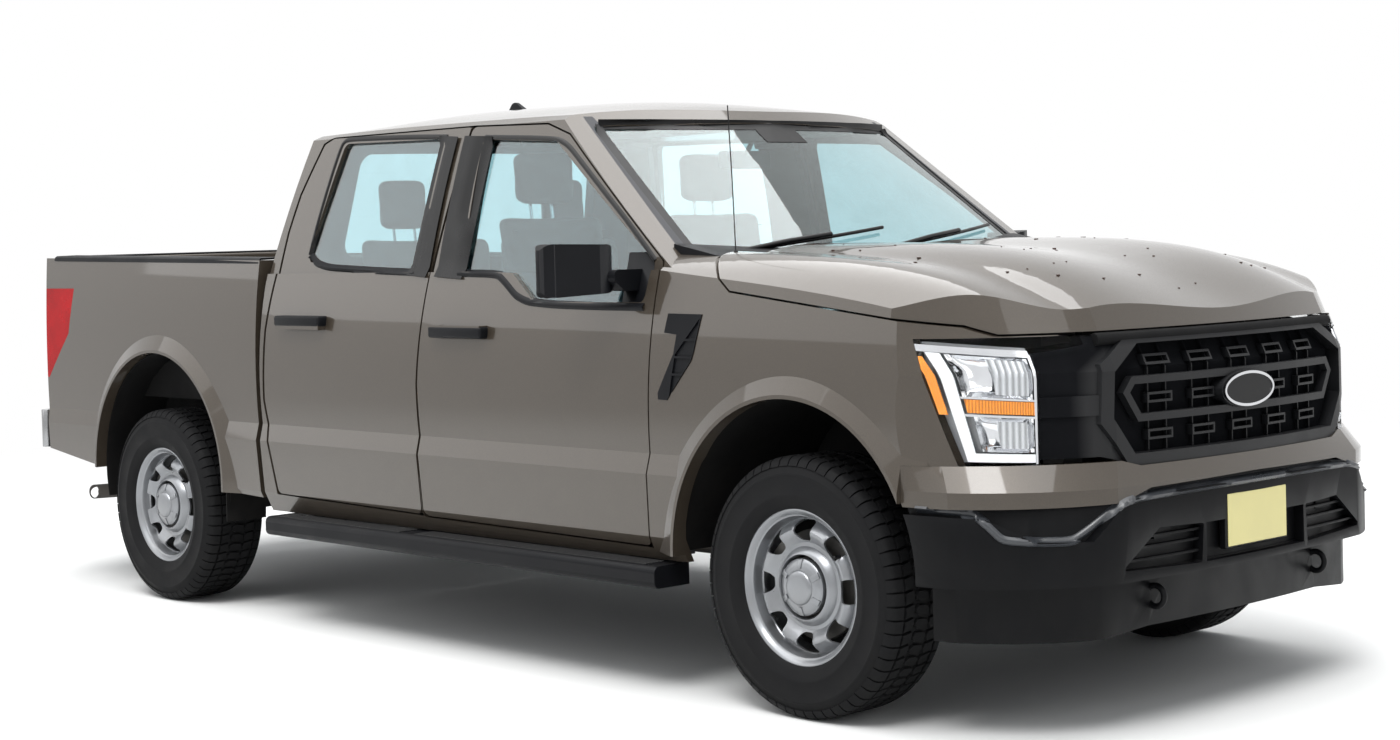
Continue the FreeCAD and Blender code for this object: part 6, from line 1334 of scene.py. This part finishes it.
class TRUCK_OT_front_trim(bpy.types.Operator):
    """Adds the bare badge place, the blank plate in its frame, the bumper's ledge in a lighter grey as a
    painted highlight, and the hood seal.
    """
    bl_idname = "truck.front_trim"
    bl_label = "Front trim"

    def execute(self, context):
        self.badge()
        front = max(vertex.co.x for vertex in NODES["front_bumper"].data.vertices)
        blank = block("number_plate", (front - 0.004, -PLATE_HALF, 0.501),
                      (front + 0.0005, PLATE_HALF, 0.655), 0.0016, 1)
        done(blank, "body", "plate_pale")
        holder = block("plate_frame", (front - 0.030, -0.160, 0.494), (front - 0.003, 0.160, 0.662), 0.004, 1)
        done(holder, "body", "satin_black")
        # A rounded ledge along the bumper's bevel, coloured lighter than the bumper as a painted highlight
        ledge = [ribbon("ledge", [(x, sign * y, z) for x, y, z in LEDGE], 0.024, 0.0095,
                        ["front_bumper", "bumper_cover"], self.bumper_aim) for sign in (1, -1)]
        done(joined("bumper_ledge_painted_highlight", ledge), "body", "bumper_edge_painted_highlight", 60)
        seal = tube("hood_seal", [(2.8625 - FRONT_BOW * (step / 10) ** 2, step / 10, 1.128)
                                  for step in range(-6, 7)], 0.019)
        done(seal, "body", "liner_plastic", 60)
        return {"FINISHED"}

    def badge(self):
        """A bright rim round a bare dark face, laid on the grille."""
        turns = [math.tau * step / 48 for step in range(48)]
        outline = [(0.128 * math.cos(turn), 0.0525 * math.sin(turn)) for turn in turns]
        rim = ring_plate("badge_rim", [(0.004, y, BADGE_LEVEL + z) for y, z in outline], 0.008, (0.003, 0, 0))
        done(draped(rim, "grille", (-1, 0, 0)), "body", "chrome")
        face = plate("badge_face", [(0.001, y * 0.93, BADGE_LEVEL + z * 0.86) for y, z in outline],
                     (0.003, 0, 0))
        done(draped(face, "grille", (-1, 0, 0)), "body", "satin_black")

    def bumper_aim(self, spot):
        """The direction into the bumper at a spot."""
        return -Vector((spot.x - 2.25, spot.y * 0.62, 0)).normalized()


class TRUCK_OT_leaves(bpy.types.Operator):
    """Scatters the small leaf specks of the photograph over the hood."""
    bl_idname = "truck.leaves"
    bl_label = "Leaf specks"

    def execute(self, context):
        chance = random.Random(7)
        specks = []
        for speck in range(46):
            x, y = chance.uniform(1.62, 2.72), chance.uniform(-0.72, 0.72)
            place = cast("hood", (x, y, 3.0), (0, 0, -1))
            size = chance.uniform(0.002, 0.0085)
            if place is None:
                continue
            corners = [(place.x + size * chance.uniform(0.6, 1.3) * math.cos(turn),
                        place.y + size * chance.uniform(0.5, 1.2) * math.sin(turn), place.z - 0.0006)
                       for turn in (0.0, 1.2, 2.6, 3.7, 5.0)]
            specks.append(plate("speck", corners, (0, 0, 0.0024)))
        done(joined("leaf_specks", specks), "hood", "leaf")
        return {"FINISHED"}


ARCH_SHELF = 0.836
ARCH_WALL = 0.7165
ARCH_MIDDLE = (AXLE - 3.675, 0.523)
ARCH_RADIUS = 0.498
ARCH_SPREAD = 104
RAIL_FRONT = -0.955
RAIL_CAP = ((0.842, 1.401), (0.948, 1.399), (0.957, 1.385), (0.953, 1.400), (0.944, 1.4065),
            (0.848, 1.4085), (0.840, 1.401))
MUD_FLAP = ((-3.178, 0.80, 0.56), (-3.178, 0.985, 0.56), (-3.192, 0.980, 0.36), (-3.192, 0.80, 0.36))
TIE_DOWN = ((-0.035, 0.8285, 1.26), (-0.035, 0.795, 1.262), (0.035, 0.795, 1.262), (0.035, 0.8285, 1.26))
TIE_PLACES = (-1.10, -2.52)


def arch_point(radius, turn, y):
    """A point of the rear wheel arch, at a turn from level with the rear."""
    return (ARCH_MIDDLE[0] + radius * math.cos(turn), y, ARCH_MIDDLE[1] + radius * math.sin(turn))


class TRUCK_OT_bed_trim(bpy.types.Operator):
    """Caps the bed's rails, lines the rear arches and adds mud flaps, tie-downs and the tailgate's trim."""
    bl_idname = "truck.bed_trim"
    bl_label = "Bed trim"

    def execute(self, context):
        for side, sign in SIDES:
            outline = [(RAIL_FRONT, sign * out, level) for out, level in RAIL_CAP]
            cap = faced_out(plate("rail_cap", outline, (-1.66, 0, 0.026)))
            done(cap, "body", "black_plastic").name = "rail_cap_" + side
            outline = [(AXLE + along, sign * out, level) for along, out, level in MUD_FLAP]
            flap = plate("mud_flap", outline, (-0.006, 0, 0), 0.002)
            done(flap, "body", "liner_plastic").name = "mud_flap_" + side
            self.arch(side, sign)
            for index, x in enumerate(TIE_PLACES):
                loop = tube("tie", [(x + along, sign * out, level) for along, out, level in TIE_DOWN], 0.006)
                done(loop, "body", "frame_black", 60).name = "tie_down_%s_%d" % (side, index)
        self.tailgate()
        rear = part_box("rear_bumper")[0].x
        blank = block("rear_plate", (rear - 0.004, -PLATE_HALF, 0.592),
                      (rear + 0.001, PLATE_HALF, 0.725), 0.0012, 1)
        done(blank, "body", "plate_pale")
        return {"FINISHED"}

    def arch(self, side, sign):
        """The rear wheel arch's liner, and the wall and crown that close it towards the bed."""

        def lay(along, up):
            return arch_point(ARCH_RADIUS, math.radians(90 - along * ARCH_SPREAD), sign * (0.84 + 0.128 * up))

        liner = thickened(sheet("liner", 40, 4, lay), 0.004)
        done(liner, "body", "liner_plastic", 60).name = "rear_liner_" + side
        turns = [math.radians(12 + step * 13) for step in range(13)]
        wall = plate("wall", [arch_point(ARCH_RADIUS - 0.006, turn, sign * ARCH_WALL) for turn in turns],
                     (0, -sign * 0.003, 0))
        crown = plate("crown", [arch_point(ARCH_RADIUS - 0.008, turn, sign * ARCH_SHELF)
                                for turn in turns[2:-2]], (0, sign * 0.003, 0))
        wall = joined("wall", [wall, crown])
        done(wall, "body", "liner_plastic").name = "rear_arch_wall_" + side

    def tailgate(self):
        """The tailgate's top cap and its handle."""
        low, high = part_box("tailgate")
        cap = block("tailgate_cap", (low.x, -0.755, high.z - 0.004),
                    (high.x - 0.002, 0.755, high.z + 0.004), 0.003, 1)
        done(cap, "tailgate", "black_plastic")
        handle = block("tailgate_handle", (low.x - 0.010, -0.115, 1.225),
                       (low.x + 0.010, 0.115, 1.305), 0.006)
        pull = block("tailgate_pull", (low.x - 0.018, -0.085, 1.272), (low.x - 0.002, 0.085, 1.292), 0.004)
        done(joined("tailgate_handle", [handle, pull]), "tailgate", "black_plastic")


STEP_LEVEL = 0.418
STEP_RIBS = 7
# Each tread's rear and front end
TREADS = ((AXLE - 1.86, AXLE - 0.62), (AXLE - 2.74, AXLE - 1.95))


class TRUCK_OT_steps(bpy.types.Operator):
    """Lays two ribbed treads on each side step."""
    bl_idname = "truck.steps"
    bl_label = "Step treads"

    def execute(self, context):
        for side, sign in SIDES:
            for index, (rear, front) in enumerate(TREADS):
                ribs = []
                for row in range(STEP_RIBS):
                    inner = 0.948 + 0.0125 * row
                    near, far = sorted((sign * inner, sign * (inner + 0.006)))
                    ribs.append(block("rib", (rear, near, STEP_LEVEL - 0.001),
                                      (front, far, STEP_LEVEL + 0.0035), 0.0012, 1))
                tread = done(joined("step_tread", ribs), "body", "satin_black")
                tread.name = "step_tread_%s_%d" % (side, index)
        return {"FINISHED"}


# Stage

# Each softbox: place, width and power
SOFTBOXES = (("front_softbox", (10.0, -3.0, 5.5), 5.0, 90.0), ("side_softbox", (-1.0, -10.0, 6.5), 6.0, 60.0),
             ("rear_softbox", (-8.5, -8.5, 6.5), 8.0, 210.0), ("top_softbox", (0.5, -0.5, 7.5), 11.0, 1040.0))
LAMP_TARGET = (0.5, 0, 0.9)
SUN_PLACE = (4, -6, 12)
SUN_SOFTNESS = 25
FLOOR_SIZE = 80
FADE_START = 4.5
FADE_END = 9.0
# The camera solved from the photograph: its frame, focal length and middle in the photograph's pixels
PHOTO_SIZE = (1400, 740)
PHOTO_FOCAL = 2290
PHOTO_MIDDLE = (741, 311)
CAMERA_TURNS = (136.16, -1.99, -1.55)
CAMERA_PLACE = (6.7725, -5.78, 1.46)


class TRUCK_OT_stage(bpy.types.Operator):
    """Adds the floor, the lights and the camera that matches the photograph."""
    bl_idname = "truck.stage"
    bl_label = "Stage"

    def execute(self, context):
        look = context.scene.truck_lights
        deselect()
        bpy.ops.mesh.primitive_plane_add(size=FLOOR_SIZE, location=(0, 0, 0))
        floor = subdivided(context.object, 3)
        floor.name = "floor"
        tree, shader, place = new_material("floor")
        cloud = toned(tree, noise(tree, place, 0.8), tuple(look.floor), 0.99, 1.01)
        finish(tree, shader, {"Base Color": cloud, "Roughness": 0.9})
        self.fade(tree, shader, place)
        floor.data.materials.append(MATERIALS["floor"])
        self.sky(context, look.sky)
        self.lamps(look.sun)
        self.camera(context)
        context.scene.view_settings.view_transform = "Standard"
        return {"FINISHED"}

    def seen_ray(self, tree):
        """1 where the camera, a reflection or clear glass looks, and 0 for light on its way."""
        path = tree.nodes.new("ShaderNodeLightPath")
        seen = maths(tree, path.outputs["Is Camera Ray"], path.outputs["Is Glossy Ray"], "MAXIMUM")
        return maths(tree, seen, path.outputs["Is Transmission Ray"], "MAXIMUM")

    def blended(self, tree, share, first, second, out):
        """Two shaders mixed by a share, fed to an output."""
        either = add_node(tree, "ShaderNodeMixShader")
        for socket, value in zip(either.inputs, (share, first.outputs[0], second.outputs[0])):
            tree.links.new(value, socket)
        tree.links.new(either.outputs["Shader"], out.inputs["Surface"])

    def fade(self, tree, shader, place):
        """Turns the far floor plain white where the camera or a reflection sees it."""
        away = add_node(tree, "ShaderNodeVectorMath", operation="LENGTH")
        tree.links.new(place, away.inputs[0])
        share = maths(tree, self.seen_ray(tree), ramp(tree, away.outputs["Value"], FADE_START, FADE_END))
        white = add_node(tree, "ShaderNodeEmission", {"Color": (1, 1, 1, 1), "Strength": 1.0})
        out = [node for node in tree.nodes if node.bl_idname == "ShaderNodeOutputMaterial"][0]
        self.blended(tree, share, shader, white, out)

    def sky(self, context, strength):
        """A white sky: plain white where it is seen, and an even soft light."""
        world = bpy.data.worlds.new("sky")
        world.use_nodes = True
        tree = world.node_tree
        tree.nodes.clear()
        seen = add_node(tree, "ShaderNodeBackground", {"Color": (1, 1, 1, 1), "Strength": 1.0})
        light = add_node(tree, "ShaderNodeBackground", {"Color": (0.92, 0.96, 1.0, 1), "Strength": strength})
        out = tree.nodes.new("ShaderNodeOutputWorld")
        self.blended(tree, self.seen_ray(tree), light, seen, out)
        context.scene.world = world

    def lamps(self, strength):
        """The soft sun and four softboxes, aimed at the truck."""
        sun = bpy.data.lights.new("sun_soft", "SUN")
        sun.angle = math.radians(SUN_SOFTNESS)
        self.hang(sun, SUN_PLACE, strength)
        for name, place, width, power in SOFTBOXES:
            lamp = bpy.data.lights.new(name, "AREA")
            lamp.size = width
            self.hang(lamp, place, power)

    def hang(self, lamp, place, power):
        """Hangs a lamp at its place with its power, aimed at the truck."""
        lamp.energy = power
        holder = bpy.data.objects.new(lamp.name, lamp)
        bpy.context.scene.collection.objects.link(holder)
        holder.location = place
        aim = Vector(LAMP_TARGET) - Vector(place)
        holder.rotation_euler = aim.to_track_quat("-Z", "Y").to_euler()

    def camera(self, context):
        """The photograph's camera, with its middle shifted off the frame's."""
        width, height = PHOTO_SIZE
        yaw, pitch, roll = (math.radians(turn) for turn in CAMERA_TURNS)
        forward = Vector((math.cos(pitch) * math.cos(yaw), math.cos(pitch) * math.sin(yaw), math.sin(pitch)))
        right = forward.cross(Vector((0, 0, 1))).normalized()
        up = right.cross(forward)
        level_right = right * math.cos(roll) + up * math.sin(roll)
        level_up = up * math.cos(roll) - right * math.sin(roll)
        lens = bpy.data.cameras.new("camera")
        lens.sensor_width = 36
        lens.lens = lens.sensor_width * PHOTO_FOCAL / width
        lens.shift_x = -(PHOTO_MIDDLE[0] - width / 2) / width
        lens.shift_y = -(height / 2 - PHOTO_MIDDLE[1]) / width
        holder = bpy.data.objects.new("camera", lens)
        context.scene.collection.objects.link(holder)
        turn = Matrix((level_right, level_up, -forward)).transposed()
        holder.matrix_world = Matrix.Translation(Vector(CAMERA_PLACE)) @ turn.to_4x4()
        context.scene.camera = holder


class TRUCK_PT_panel(bpy.types.Panel):
    """Lists the truck's steps in the sidebar."""
    bl_idname = "TRUCK_PT_panel"
    bl_label = "Pickup truck"
    bl_space_type = "VIEW_3D"
    bl_region_type = "UI"
    bl_category = "Truck"

    def draw(self, context):
        for step in STEPS:
            self.layout.operator(step.bl_idname)


GROUPS_OF_SETTINGS = (("truck_paint", PaintSettings), ("truck_tyres", TyreSettings),
                      ("truck_seats", SeatSettings), ("truck_lights", LightSettings))
STEPS = tuple(entry for entry in bpy.types.Operator.__subclasses__()
              if entry.__name__.startswith("TRUCK_OT_"))


def register():
    for name, group in GROUPS_OF_SETTINGS:
        bpy.utils.register_class(group)
        setattr(bpy.types.Scene, name, bpy.props.PointerProperty(type=group))
    for step in STEPS:
        bpy.utils.register_class(step)
    bpy.utils.register_class(TRUCK_PT_panel)


def unregister():
    bpy.utils.unregister_class(TRUCK_PT_panel)
    for step in reversed(STEPS):
        bpy.utils.unregister_class(step)
    for name, group in reversed(GROUPS_OF_SETTINGS):
        delattr(bpy.types.Scene, name)
        bpy.utils.unregister_class(group)


def main():
    """Builds everything in order."""
    register()
    for step in STEPS:
        family, action = step.bl_idname.split(".")
        getattr(getattr(bpy.ops, family), action)()


if __name__ == "__main__":
    main()
